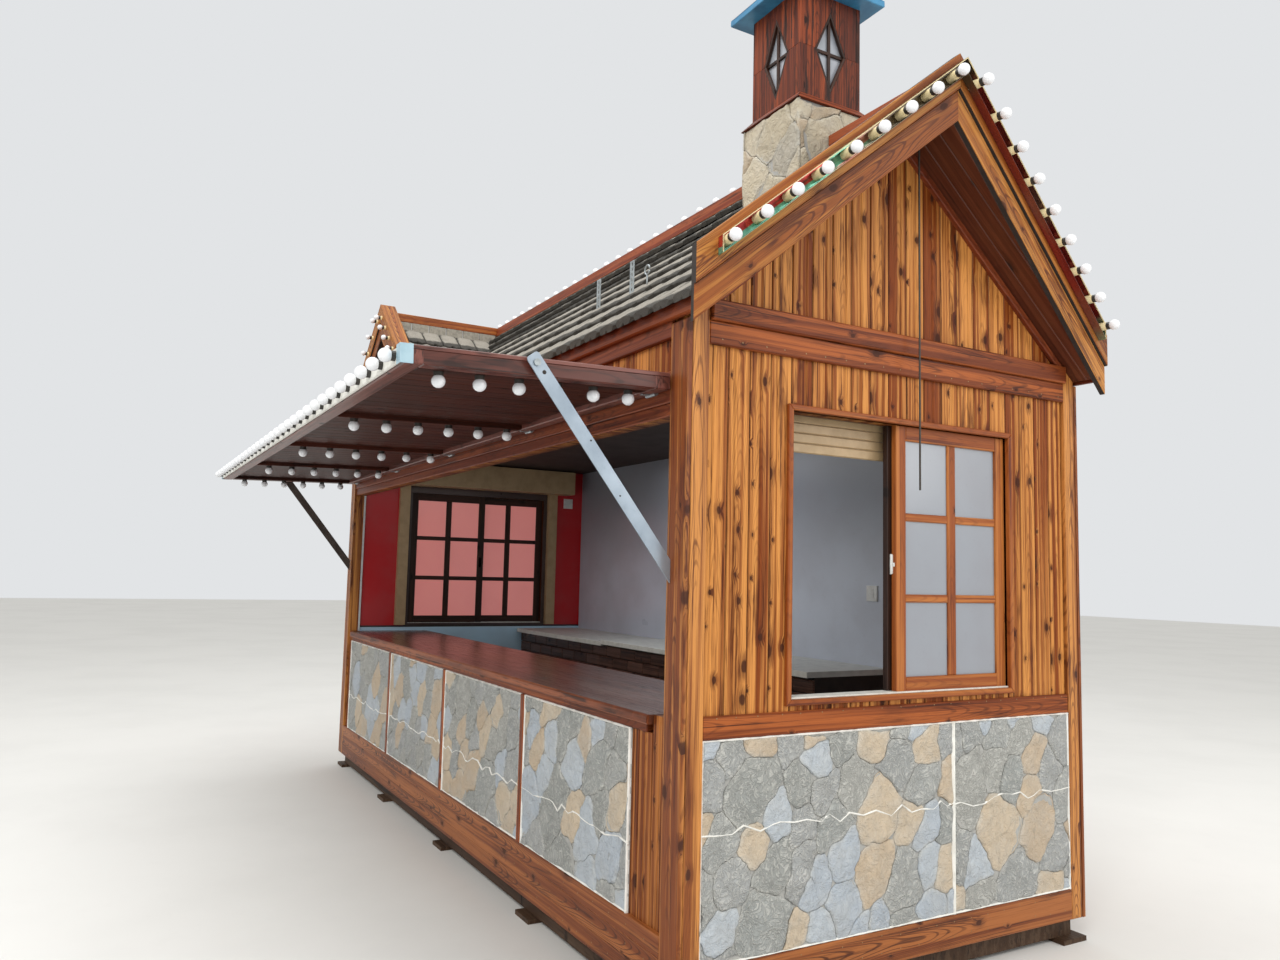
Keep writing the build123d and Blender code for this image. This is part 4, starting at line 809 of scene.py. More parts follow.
# Roof deck: dark boards down the slope under each prow, plain sheets over the room
prow_board, prow_rows, prow_end_x = 0.088, 3, 2.80
for side, node in ((-1, "roof_deck_front"), (1, "roof_deck_back")):
    deck = Piece(node.replace("roof_deck", "soffit_boards"))
    run = centre_y - clad_front_y

    def slope(points, side=side):
        p = np.asarray(points, float)
        return np.stack([p[:, 0], centre_y + side * p[:, 1],
                         apex_z - pitch_tan * p[:, 1] + deck_plumb - p[:, 2]], 1)
    deck.plank(rectangle(-clad_x, clad_x, 0, run), slope, 0, deck_plumb, 0.0)
    for end in (-1, 1):
        sweep = lambda p, end=end: slope(p * np.array([end, 1, 1]))
        for row in range(prow_rows):
            a, b = clad_x + row * prow_board, clad_x + (row + 1) * prow_board
            outline = clip(rectangle(a, min(b, prow_end_x), 0, run),
                           (1, math.tan(splay)), board_back_x(centre_y))
            if len(outline) > 2:
                deck.plank(outline, sweep, 0, deck_plumb, 0.003, (0, 1))
    deck.done(soffit_finish, slot="soffit_wood", replaces=[node])

trim_plumb, trim_proud = 0.038, 0.022
trims = Piece("soffit_trim_boards")
for end in (-1, 1):
    for side in (-1, 1):
        y0, y1 = centre_y, centre_y + side * (centre_y - bay_front_y)
        outline = [(y0, apex_z - trim_plumb), (y0, apex_z), (y1, soffit_level(y1)),
                   (y1, soffit_level(y1) - trim_plumb)]
        outline = clip(outline, (0, -1), -cornice_z2)
        trims.plank(outline, gable_place(end), clad_x, clad_x + trim_proud, 0.003,
                    (math.cos(roof_angle), -side * math.sin(roof_angle)))
trims.done(fascia_finish, slot="soffit_wood", replaces=["soffit_trims"])


def sloping(low, high, start, stop):
    """Outline along a bargeboard between two heights above its lower edge."""
    return [(s, board_foot_z + level + board_climb * s)
            for s, level in ((start, low), (stop, low), (stop, high), (start, high))]


# Bargeboards: two boards high, charred below and behind, with a metal channel for the lamps
slope_way = (1, board_climb)
strip_plumb = 0.050 / math.cos(roof_angle)
strip_high = board_plumb - strip_below
strip_low = strip_high - strip_plumb
thin, channel_deep, lip, upper_lip = 0.002, 0.035, 0.003, 0.005
boards = Piece("prow_bargeboards")
channel = Piece("lamp_channels")
for end in (-1, 1):
    for side in (-1, 1):
        place = splay_place(end, side)
        stop = board_run + 0.004
        boards.plank(sloping(0, lower_board, 0, stop), place, -board_thickness, 0, 0.003,
                     slope_way, edge_slot=1)
        boards.plank(sloping(lower_board, board_plumb, 0, stop), place, -board_thickness,
                     upper_proud, 0.003, slope_way, edge_slot=1)
        start, stop = 0.080, board_run + 0.012
        for low, high, s0, s1, out in (
                (strip_low, strip_high, start, stop, thin),
                (strip_high - thin, strip_high, start, stop, channel_deep),
                (strip_low, strip_low + thin, start, stop, channel_deep),
                (strip_low, strip_high, start, start + thin, channel_deep)):
            channel.plank(sloping(low, high, s0, s1), place, upper_proud, upper_proud + out,
                          0.0, slope_way)
        for low, high, s0, s1 in ((strip_high - upper_lip, strip_high, start, stop),
                                  (strip_low, strip_high, start, start + 0.004)):
            channel.plank(sloping(low, high, s0, s1), place, upper_proud + channel_deep - lip,
                          upper_proud + channel_deep, 0.0, slope_way, slot=1)
boards.done(barge_finish, char, slot="barge_wood", replaces=["bargeboards"])
channel.done(strip_finish, socket_cream, slot="strip_metal", replaces=["light_strips"])

# Ridge trough along the top, broken by the chimney: boards over tile strips, and a floor
trough_half, trough_top, trough_foot = 0.022, 0.068, 0.170
ridge = Piece("ridge_trough")
reach = board_back_x(centre_y) - 0.012
for s0, s1 in ((-reach, chimney_x - stack_side / 2), (chimney_x + stack_side / 2, reach)):
    for side in (-1, 1):
        for low, high, out, slot in ((trough_top, 0, 0.042, 0),
                                     (trough_foot, trough_top, 0.040, 1)):
            ridge.plank(rectangle(s0, s1, ridge_z - low, ridge_z - high), side_place(side),
                        trough_half, out, 0.003, slot=slot)
    ridge.plank(rectangle(s0, s1, ridge_z - 0.060, ridge_z - 0.040), side_place(-1),
                -trough_half, trough_half, 0.0)
ridge.done(ridge_finish, tile_finish, slot="barge_wood", replaces=["ridge_boards"])


# Shapes that repeat, made by Geometry Nodes

class Tree:
    """A node tree for a modifier, with named inputs."""

    def __init__(self, name):
        self.tree = bpy.data.node_groups.new(name, "GeometryNodeTree")
        self.tree.is_modifier = True
        self.sockets = {}
        self.entry("Places", "NodeSocketGeometry")
        self.tree.interface.new_socket("Geometry", in_out="OUTPUT",
                                       socket_type="NodeSocketGeometry")
        self.inside = self.tree.nodes.new("NodeGroupInput")
        self.outside = self.tree.nodes.new("NodeGroupOutput")

    def entry(self, label, kind):
        made = self.tree.interface.new_socket(label, in_out="INPUT", socket_type=kind)
        self.sockets[label] = made.identifier

    def taken(self, label):
        return self.inside.outputs[label]

    def node(self, kind, settings, inputs, output=0):
        made = self.tree.nodes.new(kind)
        for key, setting in settings.items():
            setattr(made, key, setting)
        for key, value in inputs.items():
            if isinstance(value, bpy.types.NodeSocket):
                self.tree.links.new(value, made.inputs[key])
            else:
                made.inputs[key].default_value = value
        return made.outputs[output]

    def vectors(self, name):
        return self.node("GeometryNodeInputNamedAttribute", {"data_type": "FLOAT_VECTOR"},
                         {"Name": name})


def repeat(name, places, facings, finish, sizes, shape, uphill=(0.0, 0.0, 1.0), least=1.0,
           sample=None):
    """Sets one shape on many places as one plain mesh. sizes are the tree's named inputs,
    least is the smallest height that a copy may shrink to."""
    tree = Tree(name + "_tree")
    for label in sizes:
        tree.entry(label, "NodeSocketFloat")
    for label, kind in (("Finish", "NodeSocketMaterial"), ("Seed", "NodeSocketInt"),
                        ("Least height", "NodeSocketFloat"), ("Sample", "NodeSocketObject")):
        tree.entry(label, kind)
    unit = shape(tree)
    turned = tree.node("FunctionNodeAlignRotationToVector", {"axis": "Z"},
                       {"Vector": tree.vectors("facing")})
    turned = tree.node("FunctionNodeAlignRotationToVector", {"axis": "Y", "pivot_axis": "Z"},
                       {"Rotation": turned, "Vector": tree.vectors("uphill")})
    smallest = tree.node("ShaderNodeCombineXYZ", {}, {"X": 1.0, "Y": 1.0,
                                                      "Z": tree.taken("Least height")})
    scale = tree.node("FunctionNodeRandomValue", {"data_type": "FLOAT_VECTOR"},
                      {"Min": smallest, "Max": (1, 1, 1), "Seed": tree.taken("Seed")})
    placed = tree.node("GeometryNodeInstanceOnPoints", {}, {
        "Points": tree.taken("Places"), "Instance": unit, "Rotation": turned, "Scale": scale})
    chance = tree.node("FunctionNodeRandomValue", {"data_type": "FLOAT"},
                       {"Seed": tree.taken("Seed")}, 1)
    placed = tree.node("GeometryNodeStoreNamedAttribute",
                       {"data_type": "FLOAT", "domain": "INSTANCE"},
                       {"Geometry": placed, "Name": "tone", "Value": chance})
    real = tree.node("GeometryNodeRealizeInstances", {}, {"Geometry": placed})
    real = tree.node("GeometryNodeSetMaterial", {}, {"Geometry": real,
                                                     "Material": tree.taken("Finish")})
    tree.tree.links.new(real, tree.outside.inputs[0])
    cloud = bpy.data.meshes.new(name + "_places")
    cloud.from_pydata([tuple(p) for p in places], [], [])
    for label, data in (("facing", facings), ("uphill", [uphill] * len(places))):
        layer = cloud.attributes.new(label, "FLOAT_VECTOR", "POINT")
        layer.data.foreach_set("vector", np.array([tuple(v) for v in data], np.float32).ravel())
    holder = bpy.data.objects.new(name + "_holder", cloud)
    scene.collection.objects.link(holder)
    modifier = holder.modifiers.new("repeat", "NODES")
    modifier.node_group = tree.tree
    for label, size in sizes.items():
        modifier[tree.sockets[label]] = float(size)
    modifier[tree.sockets["Finish"]] = finish
    modifier[tree.sockets["Seed"]] = 7
    modifier[tree.sockets["Least height"]] = float(least)
    if sample:
        modifier[tree.sockets["Sample"]] = sample
    bpy.context.view_layer.update()
    mesh = bpy.data.meshes.new_from_object(
        holder.evaluated_get(bpy.context.evaluated_depsgraph_get()))
    mesh.name = name
    holder.modifiers.remove(modifier)
    bpy.data.objects.remove(holder)
    return mesh


def moved_out(tree, shape):
    """Lifts a shape off its place by the tree's input Out."""
    return tree.node("GeometryNodeTransform", {}, {
        "Geometry": shape, "Translation": tree.node("ShaderNodeCombineXYZ", {},
                                                    {"Z": tree.taken("Out")})})


def globe_shape(tree):
    ball = tree.node("GeometryNodeMeshUVSphere", {}, {
        "Segments": 16, "Rings": 9, "Radius": tree.taken("Radius")})
    ball = tree.node("GeometryNodeSetShadeSmooth", {}, {"Geometry": ball, "Shade Smooth": True})
    return moved_out(tree, ball)


def sleeve_shape(tree):
    sleeve = tree.node("GeometryNodeMeshCone", {}, {
        "Vertices": 14, "Radius Bottom": tree.taken("Foot"), "Radius Top": tree.taken("Top"),
        "Depth": tree.taken("Length")})
    return moved_out(tree, sleeve)


def lamps(name, places, facings, scale, body, replaces, sunk=0.0, collar=bulb_collar):
    """Globe lamps: a cream holder, a black collar and an opal globe on each place. A lamp
    whose collar stands low has no holder."""
    low_collar = 0.010
    deep = max(collar * scale - 0.010, 0.002) + sunk
    for part, finish, shape, sizes in (
            ("_globes", globe_white, globe_shape,
             {"Radius": bulb_radius * scale, "Out": (collar + 0.0215) * scale}),
            ("_collars", collar_black, sleeve_shape,
             {"Foot": 0.0165 * scale, "Top": 0.0160 * scale, "Length": 0.016 * scale,
              "Out": (collar - 0.010) * scale}),
            ("_holders", socket_cream, sleeve_shape,
             {"Foot": 0.0195 * scale, "Top": 0.0170 * scale, "Length": deep, "Out": -sunk})):
        if part == "_holders" and collar < low_collar:
            continue
        mesh = repeat(name + part, places, facings, finish, sizes, shape)
        settle(mesh, name + part, body, replaces if part == "_globes" else ())


# Lamps on the channels, the ridge, the cross gable and the hatch
strip_mid = strip_high - strip_plumb / 2
strip_lamps, first_bulb, last_bulb = 9, 0.104, board_run - 0.054
bulb_step = (last_bulb - first_bulb) / (strip_lamps - 1)
places, facings = [], []
for end in (-1, 1):
    for side in (-1, 1):
        place = splay_place(end, side)
        for i in range(strip_lamps):
            along = first_bulb + i * bulb_step
            seat, tip = place([(along, board_foot_z + strip_mid + board_climb * along,
                                upper_proud + out) for out in (channel_deep, channel_deep + 0.010)])
            places.append(seat)
            facings.append(Vector(tip - seat).normalized())
lamps("gable_lamps", places, facings, 1.0, "hut", ["gable_bulbs"], sunk=channel_deep - lip)

ridge_step = 0.160
ridge_lamp_x = chimney_x - stack_side / 2 - ridge_step / 3
places = [(ridge_lamp_x - i * ridge_step, centre_y, ridge_z - 0.024)
          for i in range(int((ridge_lamp_x + end_x) / ridge_step) + 1)]
lamps("ridge_lamps", places, [(0, 0, 1)] * len(places), 1.0, "hut", ["roof_bulbs"])

cross_lamps = 4
places, facings = [], []
for side in (-1, 1):
    for i in range(cross_lamps):
        run = (i + 0.5) * dormer_edge / cross_lamps
        places.append((dormer_x + side * run, dormer_front_y - board_thickness - upper_proud,
                       apex_z + strip_mid - 0.004 - pitch_tan * run))
        facings.append((0, -1, 0))
lamps("cross_gable_lamps", places, facings, cross_lamp_scale, "hut", ["roof_bulbs"])


def hatch_place(points):
    """Carries points given along the hatch, back to the hinge line and up from its underside."""
    p = np.asarray(points, float)
    c, s = math.cos(hatch_tilt), math.sin(hatch_tilt)
    return np.stack([p[:, 0], hinge_y + p[:, 1] * c - p[:, 2] * s,
                     hinge_z + p[:, 1] * s + p[:, 2] * c], 1)


hatch_beam, hatch_strip = 0.060, 0.012
inner_hatch_x = hatch_x - hatch_beam
lamp_board_half = 0.025
rows = [(inner_hatch_x - lamp_board_half) * (i / 2 - 1) for i in range(5)]
row_start, row_step, row_lamps = 0.120, 0.139, 6
edge_step, edge_lamps = 0.1566, 31
hatch_up = Vector((0, -math.sin(hatch_tilt), math.cos(hatch_tilt)))
hatch_out = Vector((0, -math.cos(hatch_tilt), -math.sin(hatch_tilt)))
places = [hatch_place([((i - edge_lamps // 2) * edge_step, -hatch_depth - hatch_strip,
                        hatch_thickness / 2)])[0] for i in range(edge_lamps)]
facings = [hatch_out] * edge_lamps
for x in rows:
    for i in range(row_lamps):
        places.append(hatch_place([(x, -row_start - i * row_step, 0)])[0])
        facings.append(-hatch_up)
lamps("hatch_lamps", places, facings, 1.0, "hatch", ["hatch_bulbs"], sunk=0.010, collar=0.009)


# Roof tiles: crowned tabs in courses, each with its own height and tone
def tab_sample(width, run, low):
    """One closed tab that runs down -Y from its back edge: a front darkened as painted shade, a
    crowned back made pale as dust and painted light.
    """
    columns, points, faces, dusts = 6, [], [], []
    # The last number of each section point is its mark: high on the crown (dust and painted light),
    # low on the front (painted shade)
    section = [(-run, 0.0, 0.0), (-run, 0.84, 0.0), (-run + 0.010, 1.0, 0.0),
               (-run * 0.80, 0.90, 0.35), (-run * 0.60, 0.78, 1.0), (-run * 0.25, 0.56, 1.0),
               (0.014, 0.30, 0.6), (0.014, 0.0, 0.0)]
    for i in range(columns + 1):
        u = 2 * i / columns - 1
        for y, share, dust in section:
            ragged = 0.010 * math.sin(i * 2.3 + 1) + 0.014 * u ** 6 if y < -run * 0.9 else 0
            points.append((u * width / 2, y + ragged,
                           low * share * (1 - 0.22 * u * u - 0.2 * u ** 8)))
            # Painted shade: the mark drops towards the tab's sides, so the gaps between tabs come out
            # dark
            dusts.append(dust * (1 - 0.5 * u ** 6))
    n = len(section)
    for i in range(columns):
        faces += [[i * n + j, i * n + (j + 1) % n, (i + 1) * n + (j + 1) % n, (i + 1) * n + j]
                  for j in range(n)]
    faces += [list(range(n))[::-1], [columns * n + j for j in range(n)]]
    mesh = bpy.data.meshes.new("tile_tab")
    mesh.from_pydata(points, [], faces)
    layer = mesh.attributes.new("dust", "FLOAT", "POINT")
    layer.data.foreach_set("value", np.array(dusts, np.float32))
    sample = bpy.data.objects.new("tile_tab", mesh)
    scene.collection.objects.link(sample)
    return sample


tab_width, tab_gap, tab_plumb, shortest_tab = 0.140, 0.006, 0.038, 0.82


def tiled_slope(name, start, way, length, down, courses, run, node, trims):
    """Courses of tabs from a top line that starts at a point and follows way, cut off past
    each trimming plane."""
    sample = tab_sample(tab_width - tab_gap, run / math.cos(roof_angle),
                        tab_plumb * math.cos(roof_angle))
    way, down = Vector(way), Vector(down)
    outward = down * math.sin(roof_angle) + Vector((0, 0, math.cos(roof_angle)))
    uphill = -down * math.cos(roof_angle) + Vector((0, 0, math.sin(roof_angle)))
    places = []
    for course in range(courses):
        top = Vector(start) + down * run * course - Vector((0, 0, pitch_tan * run * course))
        places += [top + way * (tab_width * (i - 0.5 * (course % 2)))
                   for i in range(int(length / tab_width) + 3)]
    mesh = repeat(name, places, [outward] * len(places), tile_finish, {},
                  lambda tree: tree.node("GeometryNodeObjectInfo", {},
                                         {"Object": tree.taken("Sample")}, "Geometry"),
                  uphill, shortest_tab, sample)
    bpy.data.objects.remove(sample)
    work = bmesh.new()
    work.from_mesh(mesh)
    for point, normal in trims:
        cut = bmesh.ops.bisect_plane(work, geom=work.verts[:] + work.edges[:] + work.faces[:],
                                     plane_co=point, plane_no=normal, clear_outer=True)
        rim = [e for e in cut["geom_cut"] if isinstance(e, bmesh.types.BMEdge)]
        bmesh.ops.holes_fill(work, edges=rim, sides=0)
    bmesh.ops.recalc_face_normals(work, faces=work.faces)
    work.to_mesh(mesh)
    work.free()
    settle(mesh, name, "hut", [node])


tile_reach, courses = 2.85, 6
top_courses = ((0.034, 0.150), (0.068, 0.095))
for side, node in ((-1, "roof_tiles_front"), (1, "roof_tiles_back")):
    trims = [((end * board_back_x(centre_y), centre_y, 0),
              (end * math.cos(splay), side * math.sin(splay), 0)) for end in (-1, 1)]
    trims.append(((0, centre_y, 0), (0, -side, 0)))
    trims.append(((0, centre_y + side * (splay_run - 0.0005), 0), (0, side, 0)))
    label = node.replace("roof_tiles_", "")
    tiled_slope("tiles_" + label, (-tile_reach, centre_y, apex_z + deck_plumb), (1, 0, 0),
                2 * tile_reach, (0, side, 0), courses, splay_run / courses, node, trims)
    for course, (lift, run) in enumerate(top_courses):
        tiled_slope("ridge_tiles_%s_%d" % (label, course + 1),
                    (-tile_reach - 0.05 * course, centre_y, apex_z + deck_plumb + lift),
                    (1, 0, 0), 2 * tile_reach, (0, side, 0), 1, run, node, trims)


# Stone relief: irregular stones that fit each other, embossed in each panel
# A seed of its own, as Blender otherwise seeds this noise by the clock
noise.seed_set(7)


def stone_cells(chance, width, height, size, lean=0.0, tall=0.8):
    """Random points spread over a panel and the cell round each, all in a leaning grid."""
    def grid(p):
        return np.array([p[0] / tall - lean * p[1], p[1] * tall])
    far = grid((width, height))
    low, high = grid((0, height))[0] - 0.03, max(far[0], width / tall) + 0.03
    seeds = []
    for _ in range(int(width * height / (size * size)) * 60):
        p = np.array([chance.uniform(low, high), chance.uniform(-0.03, far[1] + 0.03)])
        reach = size * chance.choice((0.5, 0.7, 0.95, 1.3))
        if all(np.linalg.norm(p - q) > (reach + r) / 2 for q, r in seeds):
            seeds.append((p, reach))
    cells = []
    for i, (p, r) in enumerate(seeds):
        cell = rectangle(low, high, -0.03, far[1] + 0.03)
        for j, (q, other) in enumerate(seeds):
            way = q - p
            if i == j or np.linalg.norm(way) > 4 * size:
                continue
            middle = p + way * (0.5 + 0.2 * (r - other) / (r + other))
            cell = clip(cell, way, middle @ way)
            if len(cell) < 3:
                break
        if len(cell) > 2:
            cell = [((x + lean * y / tall) * tall, y / tall) for x, y in cell]
            for normal, limit in (((1, 0), width), ((-1, 0), 0), ((0, 1), height),
                                  ((0, -1), 0)):
                cell = clip(cell, normal, limit) if len(cell) > 2 else cell
            if len(cell) > 2:
                cells.append(cell)
    return cells


def broken_edge(cell, width, height, shift, cut, step):
    """A cell's outline with eased corners and the ragged line of a broken stone. The wander
    is one field over the panel, so neighbours still fit."""
    slow_sway, fast_sway, margin = 0.024, 0.008, 0.001
    points = [np.array(p, float) for p in cell]
    points = [p for i, a in enumerate(points) for p in (
        a * (1 - cut) + points[(i + 1) % len(points)] * cut,
        a * cut + points[(i + 1) % len(points)] * (1 - cut))]
    fine = []
    for i, a in enumerate(points):
        b = points[(i + 1) % len(points)]
        parts = max(1, int(np.linalg.norm(b - a) / step))
        fine += [a + (b - a) * k / parts for k in range(parts)]
    for k, p in enumerate(fine):
        slow = noise.noise_vector(Vector((p[0] * 11, p[1] * 11, shift)))
        fast = noise.noise_vector(Vector((p[0] * 38, p[1] * 38, shift + 9)))
        q = p + np.array(slow[:2]) * slow_sway + np.array(fast[:2]) * fast_sway
        fine[k] = np.clip(q, (margin, margin), (width - margin, height - margin))
    return np.array(fine)


# How far in from its outline a stone has risen to each share of its height
stone_rings = ((0.0004, -0.0005), (0.0016, 0.50), (0.007, 0.86), (0.020, 1.0))
smallest_stone = 0.0008


def relief(piece, place, s0, s1, t0, t1, ground, rise, size, roughness, lean, tall=0.9,
           cut=0.13, step=0.013, edge=0.0):
    """Fills a rectangle with embossed stones over a ground sheet."""
    chance = piece.chance
    piece.plank(rectangle(s0 + edge, s1 - edge, t0, t1), place, 0.0, ground, 0.0, slot=1,
                tone=0.5)
    shift = chance.uniform(0, 50)
    for cell in stone_cells(chance, s1 - s0, t1 - t0, size, lean, tall):
        area = sum(cell[i - 1][0] * p[1] - p[0] * cell[i - 1][1]
                   for i, p in enumerate(cell)) / 2
        if abs(area) < smallest_stone:
            continue
        shape = broken_edge(cell if area > 0 else cell[::-1], s1 - s0, t1 - t0, shift, cut, step)
        centre = shape.mean(0)
        reach = np.linalg.norm(shape - centre, axis=1)
        tilt = (chance.uniform(-1, 1) * roughness, chance.uniform(-1, 1) * roughness)
        top = rise * chance.uniform(0.55, 0.92)
        rings, count = [], len(shape)
        for pull, level in stone_rings:
            ring = []
            for k in range(count):
                keep = max(0.3, 1 - pull / max(reach[k], 0.005))
                p = centre + (shape[k] - centre) * keep
                lift = max(top * level, -0.0005)
                if level > 0.5:
                    lift += (tilt[0] * (p[0] - centre[0]) + tilt[1] * (p[1] - centre[1])) * 0.4
                    rough = noise.noise(Vector((p[0] * 22, p[1] * 22, shift + 3)))
                    lift += rough * top * 0.35
                ring.append((p[0] + s0, p[1] + t0, ground + min(max(lift, -0.0005), rise)))
            rings.append(ring)
        points = [p for ring in rings for p in ring]
        points.append((centre[0] + s0, centre[1] + t0, ground + min(top * 1.02, rise)))
        faces = [[r * count + k, r * count + (k + 1) % count, (r + 1) * count + (k + 1) % count,
                  (r + 1) * count + k] for r in range(3) for k in range(count)]
        faces += [[3 * count + k, 3 * count + (k + 1) % count, 4 * count] for k in range(count)]
        faces.append(list(range(count))[::-1])
        if left_handed(place):
            faces = [face[::-1] for face in faces]
        local = np.array(points)
        # Painted highlight: the ring just inside each stone's edge, and less the next one, is marked
        # for a pale rim in the stone finish
        rim = [0.0] * count + [1.0] * count + [0.4] * count + [0.0] * (count + 1)
        piece.solid(place(local), faces, local, chance.random(), 0, rim, smooth=True)


def bead(piece, place, route, width, out, wobble):
    """A line of sealant along a route, as a low rounded strip of uneven width."""
    low, high = out
    route = [np.array(p, float) for p in route]
    fine = [route[0]]
    for a, b in zip(route[:-1], route[1:]):
        steps = max(1, int(np.linalg.norm(b - a) / 0.02))
        fine += [a + (b - a) * (i + 1) / steps for i in range(steps)]
    section = [(-1, 0.0), (-0.9, 0.6), (0, 1.0), (0.9, 0.6), (1, 0.0)]
    points = []
    for i, p in enumerate(fine):
        way = fine[min(i + 1, len(fine) - 1)] - fine[max(i - 1, 0)]
        way = way / max(np.linalg.norm(way), 1e-9)
        side = np.array([-way[1], way[0]])
        half = width / 2 * (1 + piece.chance.uniform(-wobble, wobble))
        for u, h in section:
            q = p + side * u * half
            points.append((q[0], q[1], low + (high - low) * h))
    n, faces = len(section), []
    for i in range(len(fine) - 1):
        faces += [[i * n + j, (i + 1) * n + j, (i + 1) * n + (j + 1) % n, i * n + (j + 1) % n]
                  for j in range(n)]
    faces += [list(range(n)), [(len(fine) - 1) * n + j for j in range(n)][::-1]]
    if left_handed(place):
        faces = [face[::-1] for face in faces]
    local = np.array(points)
    piece.solid(place(local), faces, local, 0.5, slots=2)


def wavy(chance, s0, s1, t, swing):
    """A broken line that wanders across a panel, as the joint between two moulded sheets."""
    route, s = [(s0, t)], s0
    while s < s1 - 0.06:
        s += chance.uniform(0.03, 0.08)
        route.append((s, t + chance.uniform(-swing, swing)))
    return route + [(s1, t + chance.uniform(-swing, swing) * 0.4)]


def panel(piece, place, s0, s1, t0, t1, joint, lean=0.15):
    """One moulded sheet with its stones, the white joint and the sealant round it."""
    relief(piece, place, s0, s1, t0, t1, ground=0.0055, rise=0.0090, size=0.190,
           roughness=0.16, lean=lean)
    bead_top = 0.0155
    bead(piece, place, wavy(piece.chance, s0, s1, joint, 0.020), 0.0065, (0.008, bead_top), 0.3)
    e = 0.004
    for route in ([(s0 + e, t0), (s0 + e, t1)], [(s1 - e, t0), (s1 - e, t1)],
                  [(s0, t0 + e), (s1, t0 + e)], [(s0, t1 - e), (s1, t1 - e)]):
        bead(piece, place, route, 2 * e, (0.003, bead_top), 0.35)


def lifted(place, out):
    """The same placing from a face that lies further out."""
    return lambda points: place(np.asarray(points, float) + np.array([0, 0, out]))


# Stone panels, each with an uneven joint across it
stones = Piece("front_stone_relief", seed=3)
front_joint_z = 0.560
for bay in range(stone_bays):
    s0 = stone_x0 + bay * front_pitch
    s1 = stone_x1 if bay == stone_bays - 1 else s0 + panel_width
    panel(stones, lifted(side_place(-1), side_clad), s0, s1, side_skirt_z, counter_under_z,
          front_joint_z, lean=0.35)
stones.done(stone_finish, grout, sealant, slot="stone_panel", replaces=["stone_panels_front"])

stones = Piece("back_stone_relief", seed=5)
back_joint_z = 0.540
starts = [-bay_x + bay * back_pitch for bay in range(stone_bays)]
for s0, s1 in [(s0, s0 + back_pitch - batten) for s0 in starts] + [back_spans[1]]:
    panel(stones, lifted(side_place(1), side_clad), s0, s1, side_skirt_z, rail_z, back_joint_z)
stones.done(stone_finish, grout, sealant, slot="stone_panel", replaces=["stone_panels_back"])

stones = Piece("gable_stone_relief", seed=8)
joint_y = bay_front_y + 0.63 * (bay_back_y - bay_front_y)
for end in (-1, 1):
    place = lifted(gable_place(end), clad_x)
    panel(stones, place, bay_front_y, joint_y, gable_skirt_z, rail_z, 0.660)
    panel(stones, place, joint_y, bay_back_y, gable_skirt_z, rail_z, 0.650)
stones.done(stone_finish, grout, sealant, slot="stone_panel", replaces=["stone_panels_gables"])


def tower_face(turn, distance=0.0):
    """One of the chimney's four upright faces, a distance out from its middle."""
    angle = math.pi / 2 * turn
    out = np.array([math.cos(angle), math.sin(angle), 0])
    way = np.array([-math.sin(angle), math.cos(angle), 0])
    return straight(np.array([chimney_x, centre_y, 0]) + out * distance, way, (0, 0, 1), out)


# Chimney stack: four faces of rubble round a mortar core, from under the tiles
stack_foot_z = 3.20
stack = Piece("rubble_stack", seed=4)
half = stack_side / 2
for turn in range(4):
    relief(stack, tower_face(turn, half - 0.022), -half + 0.002, half - 0.002, stack_foot_z,
           stack_z, ground=0.006, rise=0.016, size=0.225, roughness=0.35, lean=0.2, tall=1.0,
           cut=0.05, step=0.010, edge=0.017)
core = half - 0.018
stack.plank(rectangle(chimney_x - core, chimney_x + core, centre_y - core, centre_y + core),
            level_place, stack_foot_z, stack_z, 0.0, slot=1)
stack.done(rubble_finish, grout, slot="chimney_stone", replaces=["chimney_stack"])

